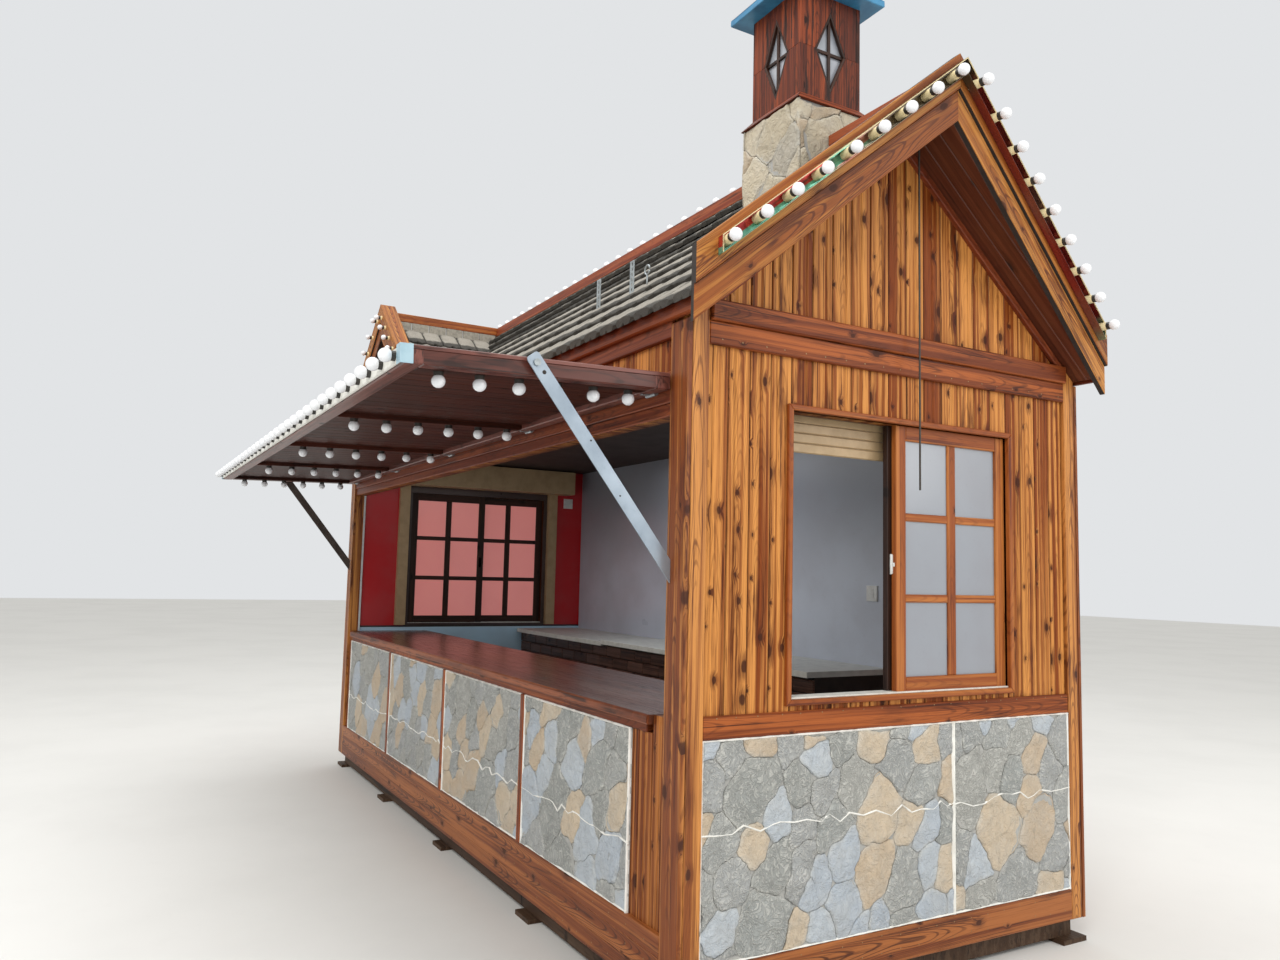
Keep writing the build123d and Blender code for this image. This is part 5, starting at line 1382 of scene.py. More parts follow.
# Lantern: boards on four sides, each with a diamond light, over a flared foot
lantern = Piece("lantern_boarding", seed=6)
half, top = lantern_side / 2, stack_z + lantern_height
wall_in, foot_in = half - 0.022, half - 0.010
diamond_z, diamond_w, diamond_h = stack_z + 0.280, 0.092, 0.200
k, bar_half = 0.86, 0.007
bar_depths = (half - 0.020, half - 0.010)
flare, rise = 0.040, 0.045
for turn in range(4):
    place = tower_face(turn)
    # Boards outside the diamond, where s / w + |t| / h is over 1
    reach = half if turn % 2 else half - 0.0225
    edges = np.linspace(0, reach, 4)
    for sx in (-1, 1):
        for a, b in zip(edges[:-1], edges[1:]):
            for low, high, sign in ((stack_z, diamond_z, -1), (diamond_z, top, 1)):
                outline = clip(rectangle(a, b, low, high), (-1 / diamond_w, -sign / diamond_h),
                               -1 - sign * diamond_z / diamond_h)
                if len(outline) > 2:
                    outline = [(sx * s, t) for s, t in outline]
                    lantern.plank(outline, place, wall_in, half, 0.0015, (0, 1))
    # Frame and glazing bars of the diamond; k is the share of it that the frame leaves open
    corners = [(0, -diamond_h), (diamond_w, 0), (0, diamond_h), (-diamond_w, 0)]
    for (s0, t0), (s1, t1) in zip(corners, corners[1:] + corners[:1]):
        lantern.plank([(s0, diamond_z + t0), (s1, diamond_z + t1),
                       (s1 * k, diamond_z + t1 * k), (s0 * k, diamond_z + t0 * k)], place,
                      half - 0.016, half - 0.001, 0.0015, (s1 - s0, t1 - t0), slot=1)
    lantern.plank(rectangle(-bar_half, bar_half, diamond_z - diamond_h * k,
                            diamond_z + diamond_h * k), place, *bar_depths, 0.001, (0, 1),
                  slot=1)
    for sx in (-1, 1):
        lantern.plank(rectangle(sx * bar_half, sx * diamond_w * k, diamond_z - bar_half,
                                diamond_z + bar_half), place, *bar_depths, 0.001, slot=1)
    # Flared foot board
    local = [(-half - flare, stack_z, half + flare), (half + flare, stack_z, half + flare),
             (half, stack_z + rise, half), (-half, stack_z + rise, half),
             (-half, stack_z, foot_in), (half, stack_z, foot_in),
             (half, stack_z + rise, foot_in), (-half, stack_z + rise, foot_in)]
    faces = [[0, 1, 2, 3], [0, 4, 5, 1], [1, 5, 6, 2], [2, 6, 7, 3], [3, 7, 4, 0], [7, 6, 5, 4]]
    lantern.solid(place(np.array(local)), faces,
                  [(p[0] + turn * 3, p[1] - stack_z, p[2]) for p in local], 0.3)
lantern.done(lantern_finish, dark_sash_finish, slot="lantern_wood", replaces=["lantern_body"])
refinish(opal_glass, "lantern_panes")

# Cap: a folded pyramid on a flat rim, with a seam along each hip
cap = Piece("folded_cap")
half, rim_high, cap_high = lantern_side / 2 + 0.080, 0.030, 0.240
corners = ((-1, -1), (1, -1), (1, 1), (-1, 1))
cap.plank(rectangle(chimney_x - half, chimney_x + half, centre_y - half, centre_y + half),
          level_place, top, top + rim_high, 0.003, back_chamfer=0.003)
rings = []
for share, level in ((1.0, rim_high), (0.985, 0.034), (0.30, 0.180), (0.045, cap_high)):
    rings += [(chimney_x + sx * half * share, centre_y + sy * half * share, top + level)
              for sx, sy in corners]
faces = [[r * 4 + k, r * 4 + (k + 1) % 4, (r + 1) * 4 + (k + 1) % 4, (r + 1) * 4 + k]
         for r in range(3) for k in range(4)] + [[12, 13, 14, 15], [3, 2, 1, 0]]
cap.solid(rings, faces, rings, 0.5)
for sx, sy in corners:
    a = np.array([chimney_x + sx * half * 0.99, centre_y + sy * half * 0.99, top + 0.028])
    b = np.array([chimney_x + sx * 0.012, centre_y + sy * 0.012, top + 0.236])
    out = np.array([sx, sy, 1.2])
    out /= np.linalg.norm(out)
    side = np.cross(b - a, out)
    side /= np.linalg.norm(side)
    points = [p + side * w + out * h for p in (a, b) for w, h in
              ((-0.006, -0.006), (0.006, -0.006), (0.006, 0.002), (-0.006, 0.002))]
    points = [(p[0], p[1], min(p[2], top + cap_high)) for p in points]
    cap.solid(points, [[0, 1, 5, 4], [1, 2, 6, 5], [2, 3, 7, 6], [3, 0, 4, 7], [3, 2, 1, 0],
                       [4, 5, 6, 7]], points, 0.6)
cap.done(cap_paint, slot="cap_metal", replaces=["lantern_cap"])

# Cross gable: boarded face, its tiles, bargeboards and ridge board
cross = straight((dormer_x, 0, 0), (1, 0, 0), (0, 0, 1), (0, -1, 0))
board_deep, cheek_run, dormer_foot_z = 0.040, 0.50, 2.65
wall = Piece("cross_gable_boards", seed=2)
board_wall(wall, cross, np.linspace(-dormer_half, dormer_half, 11), lambda s: dormer_foot_z,
           lambda s: apex_z - pitch_tan * abs(s), -dormer_y - board_deep, -dormer_y)
for side in (-1, 1):
    cheek = straight((dormer_x + side * dormer_half, 0, 0), (0, 1, 0), (0, 0, 1), (side, 0, 0))
    board_wall(wall, cheek, even_edges(dormer_y, dormer_y + cheek_run, 6),
               lambda s: soffit_level(s) + 0.03,
               lambda s: apex_z - pitch_tan * dormer_half, -board_deep, 0.0)
wall.done(wall_finish, slot="wall_wood")

deck = Piece("cross_gable_soffit", seed=2)
rear_y = centre_y - 0.042
for side in (-1, 1):
    def slope(points, side=side):
        p = np.asarray(points, float)
        return np.stack([dormer_x + side * p[:, 1], p[:, 0],
                         apex_z - pitch_tan * p[:, 1] + deck_plumb - p[:, 2]], 1)
    for a, b in ((0, 0.17), (0.17, 0.34), (0.34, dormer_edge)):
        deck.plank(rectangle(dormer_front_y, rear_y, a, b), slope, 0, deck_plumb, 0.003)
deck.done(soffit_finish, slot="soffit_wood", replaces=["dormer_body"])
for side, label in ((-1, "left"), (1, "right")):
    tiled_slope("cross_tiles_" + label, (dormer_x, dormer_front_y - 0.2, apex_z + deck_plumb),
                (0, 1, 0), 1.2, (side, 0, 0), 3, dormer_edge / 3, "dormer_tiles",
                [((0, dormer_front_y, 0), (0, -1, 0)), ((0, rear_y, 0), (0, 1, 0)),
                 ((dormer_x, 0, 0), (-side, 0, 0)),
                 ((dormer_x + side * dormer_edge, 0, 0), (side, 0, 0))])

# Its bargeboards with a cover board over their top edge, then the ridge board
boards = Piece("cross_bargeboards", seed=2)
e, z, cover, cover_back = dormer_edge, apex_z - 0.004, 0.020, 0.075
for side in (-1, 1):
    for low, high, out in ((0, lower_board, 0.0),
                           (lower_board, board_plumb - cover - 0.0005, upper_proud)):
        outline = [(side * e, z + low - pitch_tan * e), (0, z + low), (0, z + high),
                   (side * e, z + high - pitch_tan * e)]
        boards.plank(outline, cross, -dormer_front_y, -dormer_front_y + board_thickness + out,
                     0.003, (side, -pitch_tan), edge_slot=1)
    flat = straight((dormer_x, 0, z), (side, 0, -pitch_tan), (0, 1, 0), (0, 0, 1))
    boards.plank(rectangle(0, e, dormer_front_y - board_thickness - upper_proud,
                           dormer_front_y + cover_back), flat, board_plumb - cover,
                 board_plumb, 0.003, back_chamfer=0.003)
boards.done(barge_finish, char, slot="barge_wood", replaces=["dormer_bargeboards"])

board = Piece("cross_ridge_board", seed=2)
flat = straight((dormer_x, 0, ridge_z), (0, 1, 0), (0, 0, 1), (1, 0, 0))
ridge_board, tile_gap = 0.064, 0.006
y = dormer_front_y + cover_back + 0.001
board.plank(rectangle(y, rear_y, -ridge_board, 0), flat, -0.010, 0.010, 0.003,
            back_chamfer=0.003)
while y < rear_y - 0.02:
    board.plank(rectangle(y, min(y + tab_width - tile_gap, rear_y), -trough_foot, -ridge_board),
                flat, -0.0095, 0.0095, 0.003, back_chamfer=0.003, slot=1)
    y += tab_width
board.done(casing_finish, pale_tile, slot="barge_wood", replaces=["dormer_ridge"])


# Windows: casings
casings = Piece("window_casing_boards", seed=2)
for end in (-1, 1):
    outer = rectangle(window_y0, window_y1, window_z0, window_z1)
    inner = rectangle(hole_y0, hole_y1, hole_z0, hole_z1)
    for i in range(4):
        j = (i + 1) % 4
        casings.plank([outer[i], outer[j], inner[j], inner[i]], gable_place(end),
                      clad_x - 0.020, clad_x + 0.016, 0.003,
                      (outer[j][0] - outer[i][0], outer[j][1] - outer[i][1]))
casings.done(casing_finish, slot="rail_wood", replaces=["window_casings"])

# Sliding sashes with six panes each, and their tracks
sash_width = 0.631
stile, rail, bar, level_bar = 0.054, 0.060, 0.046, 0.032
outer_track, inner_track = (inner_x + 0.030, inner_x + 0.058), (inner_x, inner_x + 0.028)
back_sash_y, front_sash_y = hole_y1 - sash_width / 2, hole_y0 + sash_width / 2


def sash(piece, end, middle, track, slot=0):
    """One sash of six panes in a track, its middle at a place across the gable."""
    place, (x0, x1) = gable_place(end), track
    y0, y1, z0, z1 = middle - sash_width / 2, middle + sash_width / 2, hole_z0, hole_z1

    def member(a, b, low, high, deeper, along):
        piece.plank(rectangle(a, b, low, high), place, x0 + deeper, x1 - deeper, 0.003, along,
                    slot, back_chamfer=0.003)

    for a, b in ((y0, y0 + stile), (y1 - stile, y1)):
        member(a, b, z0, z1, 0, (0, 1))
    for a, b in ((z0, z0 + rail), (z1 - rail, z1)):
        member(y0 + stile, y1 - stile, a, b, 0, (1, 0))
    member(middle - bar / 2, middle + bar / 2, z0 + rail, z1 - rail, 0.003, (0, 1))
    pane = (z1 - z0 - 2 * rail - 2 * level_bar) / 3
    for row in (1, 2):
        z = z0 + rail + row * pane + (row - 1) * level_bar
        for a, b in ((y0 + stile, middle - bar / 2), (middle + bar / 2, y1 - stile)):
            member(a, b, z, z + level_bar, 0.004, (1, 0))


# The near window stands half open, the far one is shut
near = Piece("near_window_sashes", seed=2)
sash(near, 1, back_sash_y, outer_track)
sash(near, 1, back_sash_y - 0.018, inner_track, slot=1)
near.done(casing_finish, dark_sash_finish, slot="rail_wood", replaces=["window_sashes"])
far = Piece("far_window_sashes", seed=2)
sash(far, -1, back_sash_y, outer_track)
sash(far, -1, front_sash_y, inner_track)
far.done(dark_sash_finish, slot="rail_wood")
tracks = Piece("window_tracks")
for end in (-1, 1):
    tracks.plank(rectangle(hole_y0, hole_y1, hole_z0, hole_z0 + 0.006), gable_place(end),
                 inner_x, clad_x, 0.001)
tracks.done(off_white, slot="rail_wood")

latch = Piece("sash_latches")
for end, y, x in ((1, 0.455, outer_track[0]), (-1, 0.515, inner_track[0])):
    place = gable_place(end)
    latch.plank(rectangle(y - 0.010, y + 0.010, 1.560, 1.640), place, x, x + 0.010, 0.004,
                back_chamfer=0.001)
    latch.plank(rectangle(y - 0.006, y + 0.020, 1.590, 1.606), place, x + 0.008, x + 0.020,
                0.003)
latch.done(latch_white, slot="rail_wood")


def by_place(name, rough, coat, paints, glow=None):
    """A smooth sheet whose paint depends on which wall it hangs on, with faint clouds. With glow, its
    part at negative x glows pink, as painted light.
    """
    f = Finish(name, roughness=rough, coat=coat)
    place = f.object_place()
    x, y, z = f.apart(place)
    cloud, grit = f.noise(place, 3, 3), f.noise(place, 60, 2)
    body = paints(f, x, y, z)
    f.colour(f.mix(cloud.ramp(0.35, 0.7) * 0.16 + grit.ramp(0.6, 0.8) * 0.08, body,
                   paint(120, 110, 112)))
    f.rough(cloud * 0.2 + (rough - 0.1))
    # Painted light: the part at negative x glows pink, standing in for light shining through the far
    # window
    if glow:
        f.shader.inputs["Emission Strength"].default_value = glow
        f.tree.links.new(f.mix(x.over(0), paint(236, 140, 134), paint(0, 0, 0)).socket,
                         f.shader.inputs["Emission Color"])
    return f.material


def lining_paints(f, x, y, z):
    """Gables: pale blue, a dark line, then red, with a dark reveal round the window. Back
    and front: pale, darkened towards the ceiling as painted shade."""
    line_z0, line_z1, margin = 1.066, 1.080, 0.031
    gable = f.mix(z.over(line_z0), paint(188, 222, 244), f.mix(
        z.over(line_z1), paint(30, 26, 28), paint(190, 10, 22)))
    reveal = y.over(hole_y0 - margin) * (1 - y.over(hole_y1 + margin)) * z.over(line_z1)
    gable = f.mix(reveal, gable, paint(56, 39, 33))
    # Painted shade: the back and front linings grow darker towards the ceiling
    back = f.mix(z.ramp(1.3, 2.2) * 0.75, paint(200, 208, 222), paint(96, 100, 108))
    return f.mix(x.size().over(room_x - 0.001), back, gable)


def pane_paints(f, x, y, z):
    """Milky at the near window, pink at the far one."""
    return f.mix(x.over(0), paint(240, 158, 154), paint(148, 153, 162))


refinish(by_place("wall_panels", 0.32, 0.25, lining_paints), "wall_linings")
# The far pane glows: painted light, standing in for daylight behind it
refinish(by_place("milky_glass", 0.2, 0.35, pane_paints, glow=0.30), "window_panes")
refinish(ceiling_paint, "ceiling")
refinish(bearer_finish, "base_frame")
refinish(floor_finish, "floor_deck")
refinish(tan_metal, "roller_shutters")
refinish(galvanised, "hinge_brackets", "hatch_fittings")
refinish(strut_steel, "strut_right")
# The far strut takes the darker copy of the steel, as painted shade
refinish(dark_strut, "strut_left")

# Roller shutter: the slats that hang out of its box at the near window
curtain = Piece("shutter_slats")
slat, slat_step = 0.038, 0.039
curtain_y0, curtain_y1, curtain_z = -0.115, 1.113, 2.212
for i in range(5):
    top = curtain_z - i * slat_step
    curtain.plank(rectangle(curtain_y0, curtain_y1, top - slat, top), gable_place(1),
                  room_x - 0.026, room_x - 0.014, 0.004, back_chamfer=0.004)
curtain.done(tan_metal, slot="shutter_metal", replaces=["shutter_curtain"])

# Serving counter: a board deep into the room with a worn nose, a rail and four brackets
low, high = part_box("counter_top")
counter = Piece("counter_plank")
side_on = gable_place(1)
inner_y, wall_y, under = 0.062, -0.449, high[2] - 0.034
nose = low[1] + 0.0125
for x0, x1, y0 in ((low[0], high[0], low[1] + 0.0120), (0.0001 - room_x, low[0], wall_y)):
    counter.plank(rectangle(x0, x1, y0, inner_y), level_place, under, high[2], 0.003)
counter.plank([(nose, under), (nose, high[2]), (low[1] + 0.007, high[2]),
               (low[1] + 0.001, high[2] - 0.006), (low[1], under + 0.008),
               (low[1] + 0.005, under)], side_on, low[0], high[0], 0.0, (0, 1), slot=1)
counter.plank(rectangle(low[0], high[0] - 0.030, low[2], under), side_place(-1), 0.900,
              half_depth - 0.010, 0.003, slot=2)
bracket_y, bracket_high, bracket_wide = 0.020, 0.300, 0.030
for x in (-2.0, -0.9, 0.2, 1.3):
    counter.plank([(wall_y, under), (wall_y, under - bracket_high),
                   (wall_y + 0.029, under - bracket_high), (bracket_y, under - 0.040),
                   (bracket_y, under)], side_on, x, x + bracket_wide, 0.002, (0, 1), slot=2)
counter.done(counter_finish, nose_finish, rail_finish, slot="counter_wood",
             replaces=["counter_top"])

# Worktop in two levels with a pale front edge
step_x, low_work_z, high_work_z, work_thick = -0.835, 1.020, 1.032, 0.030
work_y, work_edge_y = 0.866, 0.86208
work = Piece("worktop_slabs")
for x0, x1, z in ((step_x, 1.445, high_work_z), (-bay_x, step_x, low_work_z)):
    work.plank(rectangle(x0, x1, work_y, room_back_y), level_place, z, z + work_thick, 0.002)
    work.plank(rectangle(x0, x1, work_edge_y, work_y), level_place, z, z + work_thick, 0.001,
               slot=1)
work.done(work_grey, work_edge, slot="worktop_panel", replaces=["worktop"])

# Cabinet under it, its front laid with brick-shaped tiles
low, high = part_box("cabinet")
cabinet = Piece("brick_pattern_cabinet", seed=2)
brick, brick_deep, mortar, brick_rows = 0.210, 0.014, 0.002, 12
for x0, x1, top in ((low[0], step_x, low_work_z), (step_x, high[0], high[2])):
    cabinet.plank(rectangle(x0, x1, low[1] + brick_deep, high[1]), level_place, low[2], top,
                  0.0, slot=1)
front = straight((0, 0, 0), (1, 0, 0), (0, 0, 1), (0, -1, 0))
levels = np.linspace(low[2], low_work_z, brick_rows + 1)
for row, (a, b) in enumerate(zip(levels[:-1], levels[1:])):
    x = low[0] - brick / 2 * (row % 2)
    while x < high[0] - 0.01:
        x0, x1 = max(x, low[0]), min(x + brick, high[0])
        if x1 - x0 > 0.02:
            cabinet.plank(rectangle(x0 + mortar, x1 - mortar, a + mortar, b - mortar), front,
                          -low[1] - brick_deep, -low[1], 0.005)
        x += brick
cabinet.done(cabinet_finish, char, slot="cabinet_wood", replaces=["cabinet"])

# Back door: seven boards under stiles and rails, in a frame
low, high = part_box("back_door")
door = Piece("boarded_back_door", seed=2)
leaf_x0, leaf_x1, leaf_z0, leaf_z1 = door_x0 + 0.004, door_x1 - 0.004, 0.135, door_top_z - 0.004
stile_x0, stile_x1 = leaf_x0 + 0.090, leaf_x1 - 0.090
leaf_edges = np.linspace(leaf_x0, leaf_x1, 8)
for x0, x1 in zip(leaf_edges[:-1], leaf_edges[1:]):
    door.plank(rectangle(x0, x1, leaf_z0, leaf_z1), side_place(1), side_clad - 0.040,
               side_clad - 0.004, 0.003, (0, 1))
leaf_parts = ((leaf_x0, stile_x0, leaf_z0, leaf_z1), (stile_x1, leaf_x1, leaf_z0, leaf_z1),
              (stile_x0, stile_x1, leaf_z0, 0.275), (stile_x0, stile_x1, 0.990, 1.090),
              (stile_x0, stile_x1, leaf_z1 - 0.100, leaf_z1))
frame_parts = ((low[0], door_x0, base_z, door_top_z), (door_x1, high[0], base_z, door_top_z),
               (low[0], high[0], door_top_z, high[2]))
for parts, inner, outer in ((leaf_parts, side_clad - 0.006, side_clad),
                            (frame_parts, side_clad, high[1] - centre_y)):
    for x0, x1, z0, z1 in parts:
        door.plank(rectangle(x0, x1, z0, z1), side_place(1), inner, outer, 0.003,
                   (0, 1) if z1 - z0 > 1 else (1, 0))
door.done(casing_finish, slot="wall_wood", replaces=["back_door"])

# Hatch: beams, lining boards with lamp battens, outer boards, edge strip, corner caps
front_beam_y, back_beam_y, back_y_end = -hatch_depth + hatch_beam, -0.056, 0.004
beam_high, lining_low, lining_high = 0.048, 0.022, 0.034
beams = Piece("hatch_beam_frame", "hatch", seed=2)
for y0, y1 in ((-hatch_depth, front_beam_y), (back_beam_y, back_y_end)):
    beams.plank(rectangle(-hatch_x, hatch_x, y0, y1), hatch_place, 0, beam_high, 0.003,
                back_chamfer=0.004)
for x0, x1 in ((-hatch_x, -inner_hatch_x), (inner_hatch_x, hatch_x)):
    beams.plank(rectangle(x0, x1, front_beam_y, back_beam_y), hatch_place, 0, beam_high, 0.003,
                (0, 1), back_chamfer=0.004)
beams.done(hatch_finish, slot="hatch_wood", replaces=["hatch_frame"])

lining_boards = Piece("hatch_lining_planks", "hatch", seed=2)
edges = np.linspace(-inner_hatch_x, inner_hatch_x, 46)
for a, b in zip(edges[:-1], edges[1:]):
    lining_boards.plank(rectangle(a, b, front_beam_y, back_beam_y), hatch_place, lining_low,
                        lining_high, 0.0, (0, 1), back_chamfer=0.003)
for x in rows:
    lining_boards.plank(rectangle(x - lamp_board_half, x + lamp_board_half, front_beam_y, back_beam_y),
                        hatch_place, 0, lining_low, 0.0, (0, 1), back_chamfer=0.003)
lining_boards.done(hatch_board_finish, slot="lining_panel", replaces=["hatch_lining"])

# The outer boards at both ends are of the beams' darker timber
cladding = Piece("hatch_outer_boards", "hatch", seed=2)
hatch_boards = 48
edges = np.linspace(-hatch_x, hatch_x, hatch_boards + 1)
for i in range(hatch_boards):
    cladding.plank(rectangle(edges[i], edges[i + 1], -hatch_depth, back_y_end), hatch_place,
                   beam_high, hatch_thickness, 0.003, (0, 1), edge_slot=1,
                   slot=1 if i in (0, hatch_boards - 1) else 0)
cladding.done(wall_finish, hatch_finish, slot="hatch_wood", replaces=["hatch_cladding"])

strip = Piece("hatch_white_strip", "hatch")
strip.plank(rectangle(-hatch_x + 0.004, hatch_x - 0.004, -hatch_depth - hatch_strip,
                      -hatch_depth), hatch_place, 0.006, hatch_thickness - 0.006, 0.003,
            back_chamfer=0.003)
strip.done(off_white, slot="edge_metal", replaces=["hatch_edge_strip"])
refinish(pale_blue, "hatch_corner_caps")

# Two perforated uprights on the front slope of the roof
rack = Piece("perforated_uprights")
rack_z0, rack_z1, rack_half, hole_half, hole_step, web = 2.62, 3.034, 0.020, 0.006, 0.0253, 0.009
for x in (1.365, 1.015):
    up = straight((x, -0.15792, 0), (1, 0, 0), (0, 0, 1), (0, -1, 0))
    for a, b in ((-rack_half, -hole_half), (hole_half, rack_half)):
        rack.plank(rectangle(a, b, rack_z0, rack_z1), up, 0, 0.004, 0.0005, (0, 1))
    for i in range(17):
        z = rack_z0 + i * hole_step
        rack.plank(rectangle(-hole_half, hole_half, z, z + web), up, 0, 0.004, 0.0005)
rack.done(galvanised, slot="galvanised", replaces=["roof_uprights"])

# Nails in rows on the rails, the skirt boards and the cornices
def circle(s, t, radius, count):
    """Outline of a round thing."""
    return [(s + radius * math.cos(k * 2 * math.pi / count),
             t + radius * math.sin(k * 2 * math.pi / count)) for k in range(count)]


def nail(piece, place, s, t, out, size=0.0026):
    """A flat head that stands a little off a face."""
    piece.plank(circle(s, t, size, 8), place, out - 0.001, out + 0.0006, 0.0003, tone=0.5)


pins = Piece("board_nails", seed=2)
chance = random.Random(11)
for end in (-1, 1):
    place = gable_place(end)
    edges = np.linspace(bay_front_y, bay_back_y, 21)
    for middle in (edges[:-1] + edges[1:]) / 2:
        nail(pins, place, middle + chance.uniform(-0.01, 0.01), rail_top_z - 0.008,
             clad_x + rail_proud)
        nail(pins, place, middle + chance.uniform(-0.01, 0.01), cornice_z0 + 0.020, end_x)
        for z in (0.150, 0.205):
            nail(pins, place, middle, z + chance.uniform(-0.006, 0.006), end_x)
first_nail_x, nail_step = -2.30, 0.1314
for side in (-1, 1):
    for i in range(36):
        x = first_nail_x + i * nail_step
        for z in (0.136, 0.208, 0.279):
            if side < 0 or not door_trim_x0 - 0.028 < x < door_trim_x1 + 0.022:
                nail(pins, side_place(side), x, z + chance.uniform(-0.008, 0.008), half_depth)
pins.done(nail_brass, slot="rail_wood")

# A spare hole near the bolt and two screws in each strut
bolt = hatch_place([(0, -0.518, 0.042)])[0]
strut_foot = np.array((0, front_y - 0.005, base_z + 1.449))
down = strut_foot - bolt
strut_run = np.linalg.norm(down)
for end, strut in ((1, "strut_right"), (-1, "strut_left")):
    face = straight((end * (hatch_x + 0.021), bolt[1], bolt[2]), down / strut_run,
                    np.cross((end, 0, 0), down / strut_run), (end, 0, 0))
    screws = Piece(strut + "_screws", strut)
    nail(screws, face, 0.040, 0.003 * end, 0, 0.0075)
    nail(screws, face, strut_run * 0.37, 0.013 * end, 0, 0.0035)
    nail(screws, face, strut_run * 0.62, -0.006 * end, 0, 0.0035)
    screws.done(char, slot="galvanised")

# Round lamps under the ceiling: a metal rim and a white disc
spots = Piece("ceiling_lamps")
for x, y in ((-1.2, 0.4), (0.22, 0.02), (0.93, 0.10), (1.13, 0.11), (1.6, 0.9)):
    under = straight((x, y, ceiling_z), (1, 0, 0), (0, -1, 0), (0, 0, -1))
    for radius, slot, out in ((0.032, 0, 0.012), (0.026, 1, 0.020)):
        spots.plank(circle(0, 0, radius, 24), under, 0.0, out, 0.002, slot=slot)
spots.done(galvanised, globe_white, slot="ceiling_panel")

# Double switches on the far gable and on the back wall
plates = Piece("switch_plates")
plate_half, plate_high = 0.043, 0.009
for wall, s, t in ((straight((-room_x, 0, 0), (0, 1, 0), (0, 0, 1), (1, 0, 0)), 1.314, 2.143),
                   (straight((0, room_back_y, 0), (1, 0, 0), (0, 0, 1), (0, -1, 0)),
                    1.30, 1.46)):
    plates.plank(rectangle(s - plate_half, s + plate_half, t - plate_half, t + plate_half),
                 wall, 0, plate_high, 0.003)
    for key_t in (t - 0.013, t + 0.013):
        plates.plank(rectangle(s - 0.016, s + 0.016, key_t - 0.012, key_t + 0.012), wall,
                     plate_high, plate_high + 0.0025, 0.002)
plates.done(latch_white, slot="lining_panel")


def tube(piece, route, radius):
    """A closed round bar along a route that lies in an upright plane."""
    points, last, n = [], len(route) - 1, 10
    for i, spot in enumerate(route):
        way = np.subtract(route[min(i + 1, last)], route[max(i - 1, 0)])
        rise = np.cross(way / np.linalg.norm(way), (0, 1, 0))
        points += [np.array(spot) + a * np.array((0, 1, 0)) + b * rise
                   for a, b in circle(0, 0, radius, n)]
    faces = [[i * n + k, i * n + (k + 1) % n, (i + 1) * n + (k + 1) % n, (i + 1) * n + k]
             for i in range(last) for k in range(n)]
    faces += [list(range(n))[::-1], [last * n + k for k in range(n)]]
    piece.solid(np.array(points), faces, points, 0.5, smooth=True)


# Eye on the front slope of the roof: a nearly closed ring on a stem
eye = Piece("roof_eye")
eye_x, eye_y, eye_z, eye_radius, wire = 1.518, -0.163, 2.947, 0.022, 0.004
tube(eye, [(eye_x + eye_radius * math.cos(k / 3), eye_y, eye_z + eye_radius * math.sin(k / 3))
           for k in range(19)], wire)
tube(eye, [(eye_x, eye_y, eye_z - 0.020), (eye_x, eye_y, eye_z - 0.087)], wire)
eye.done(galvanised, slot="galvanised")

# The loose black cable that hangs from the soffit in front of the near gable
cable_end, cable_top = 1.891, 3.319
line = bpy.data.curves.new("hanging_cable_line", "CURVE")
line.dimensions, line.bevel_depth, line.bevel_resolution = "3D", 0.004, 3
line.use_fill_caps = True
path = line.splines.new("NURBS")
route = [(2.575, centre_y, cable_top + (cable_end - cable_top) * i / 8) for i in range(9)]
path.points.add(len(route) - 1)
for point, place in zip(path.points, route):
    point.co = (*place, 1.0)
path.order_u = 3
path.use_endpoint_u = True
path.resolution_u = 6
line.materials.append(cable_skin)
cable = bpy.data.objects.new("hanging_cable_line", line)
scene.collection.objects.link(cable)
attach(cable, "hut")
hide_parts("hanging_cable")

# Studio: pale floor and soft light
floor_mesh = bpy.data.meshes.new("studio_floor")
floor_mesh.from_pydata([(-40, -40, 0), (40, -40, 0), (40, 40, 0), (-40, 40, 0)], [],
                       [(0, 1, 2, 3)])
floor = bpy.data.objects.new("studio_floor", floor_mesh)
floor_mesh.materials.append(plain("studio_floor", (228, 228, 226), (220, 220, 218), 0.9,
                                  scale=0.6))
scene.collection.objects.link(floor)

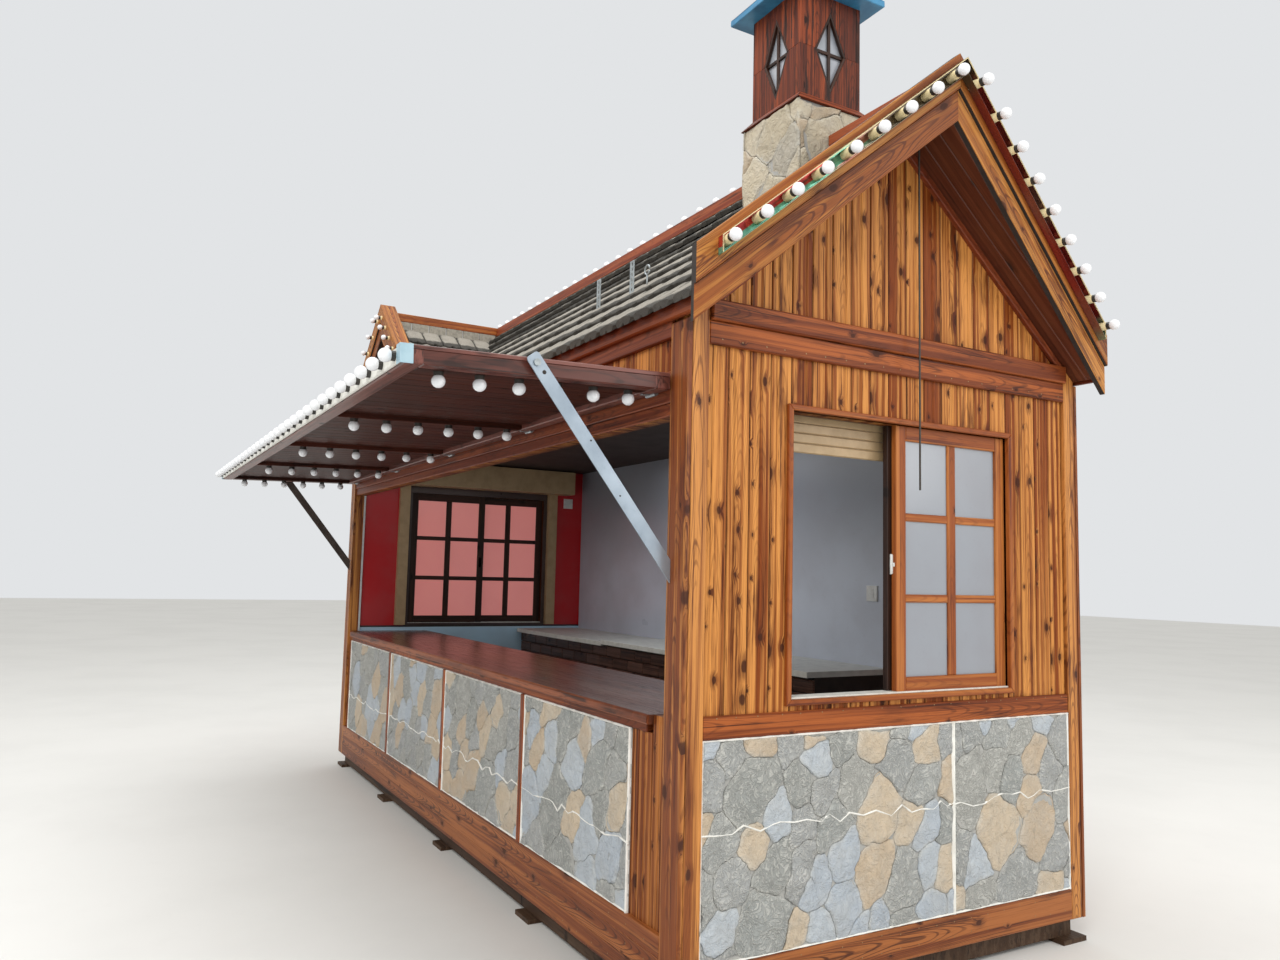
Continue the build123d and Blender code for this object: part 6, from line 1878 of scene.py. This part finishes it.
world = bpy.data.worlds.new("studio")
scene.world = world
world.use_nodes = True
sky = world.node_tree
sky.nodes.clear()
shown, glow, blend, ray, end_node = (sky.nodes.new(kind) for kind in (
    "ShaderNodeBackground", "ShaderNodeBackground", "ShaderNodeMixShader",
    "ShaderNodeLightPath", "ShaderNodeOutputWorld"))
shown.inputs["Color"].default_value = paint(226, 228, 230)
shown.inputs["Strength"].default_value = 1.0
glow.inputs["Color"].default_value = paint(244, 243, 240)
glow.inputs["Strength"].default_value = 0.85
sky.links.new(ray.outputs["Is Camera Ray"], blend.inputs[0])
sky.links.new(glow.outputs[0], blend.inputs[1])
sky.links.new(shown.outputs[0], blend.inputs[2])
sky.links.new(blend.outputs[0], end_node.inputs[0])


def soft_light(name, place, target, size, power, colour=(1, 1, 1)):
    data = bpy.data.lights.new(name, "AREA")
    data.shape, data.size, data.energy, data.color = "SQUARE", size, power, colour
    lamp = bpy.data.objects.new(name, data)
    lamp.location = place
    lamp.rotation_euler = (Vector(target) - Vector(place)).to_track_quat("-Z", "Y").to_euler()
    scene.collection.objects.link(lamp)


soft_light("key_light", (9.0, -8.0, 9.0), (0.8, 0.2, 1.4), 5.0, 700, (1.0, 0.97, 0.92))
soft_light("fill_light", (10.0, 5.5, 5.0), (1.5, 0.5, 1.6), 5.0, 260, (1.0, 0.98, 0.95))
soft_light("top_light", (0.0, -1.0, 10.0), (0.0, 0.4, 2.0), 7.0, 450)
soft_light("room_light", (0.0, 0.4, 2.38), (0.0, 0.4, 0.2), 1.8, 13)

# Camera as fitted to the photo, whose pixels give its focal length and shift
photo_wide, focal_pixels, sensor = 1280, 951.62, 36.0
shift_pixels = (-1.88, 5.88)
camera_place = (5.272, -2.2951, 1.538)
camera_data = bpy.data.cameras.new("camera")
camera_data.sensor_width, camera_data.lens = sensor, focal_pixels / photo_wide * sensor
camera_data.shift_x, camera_data.shift_y = (pixels / photo_wide for pixels in shift_pixels)
camera_data.clip_end = 200
camera = bpy.data.objects.new("camera", camera_data)
scene.collection.objects.link(camera)
yaw, pitch, roll = 1.0547, 0.0922, 0.0238
forward = Vector((-math.sin(yaw) * math.cos(pitch), math.cos(yaw) * math.cos(pitch),
                  math.sin(pitch)))
right = Vector((math.cos(yaw), math.sin(yaw), 0))
upward = right.cross(forward)
turned = right * math.cos(roll) + upward * math.sin(roll)
upright = upward * math.cos(roll) - right * math.sin(roll)
camera.matrix_world = Matrix.Translation(camera_place) @ Matrix(
    (turned, upright, -forward)).transposed().to_4x4()
scene.camera = camera
scene.view_settings.view_transform = "Standard"
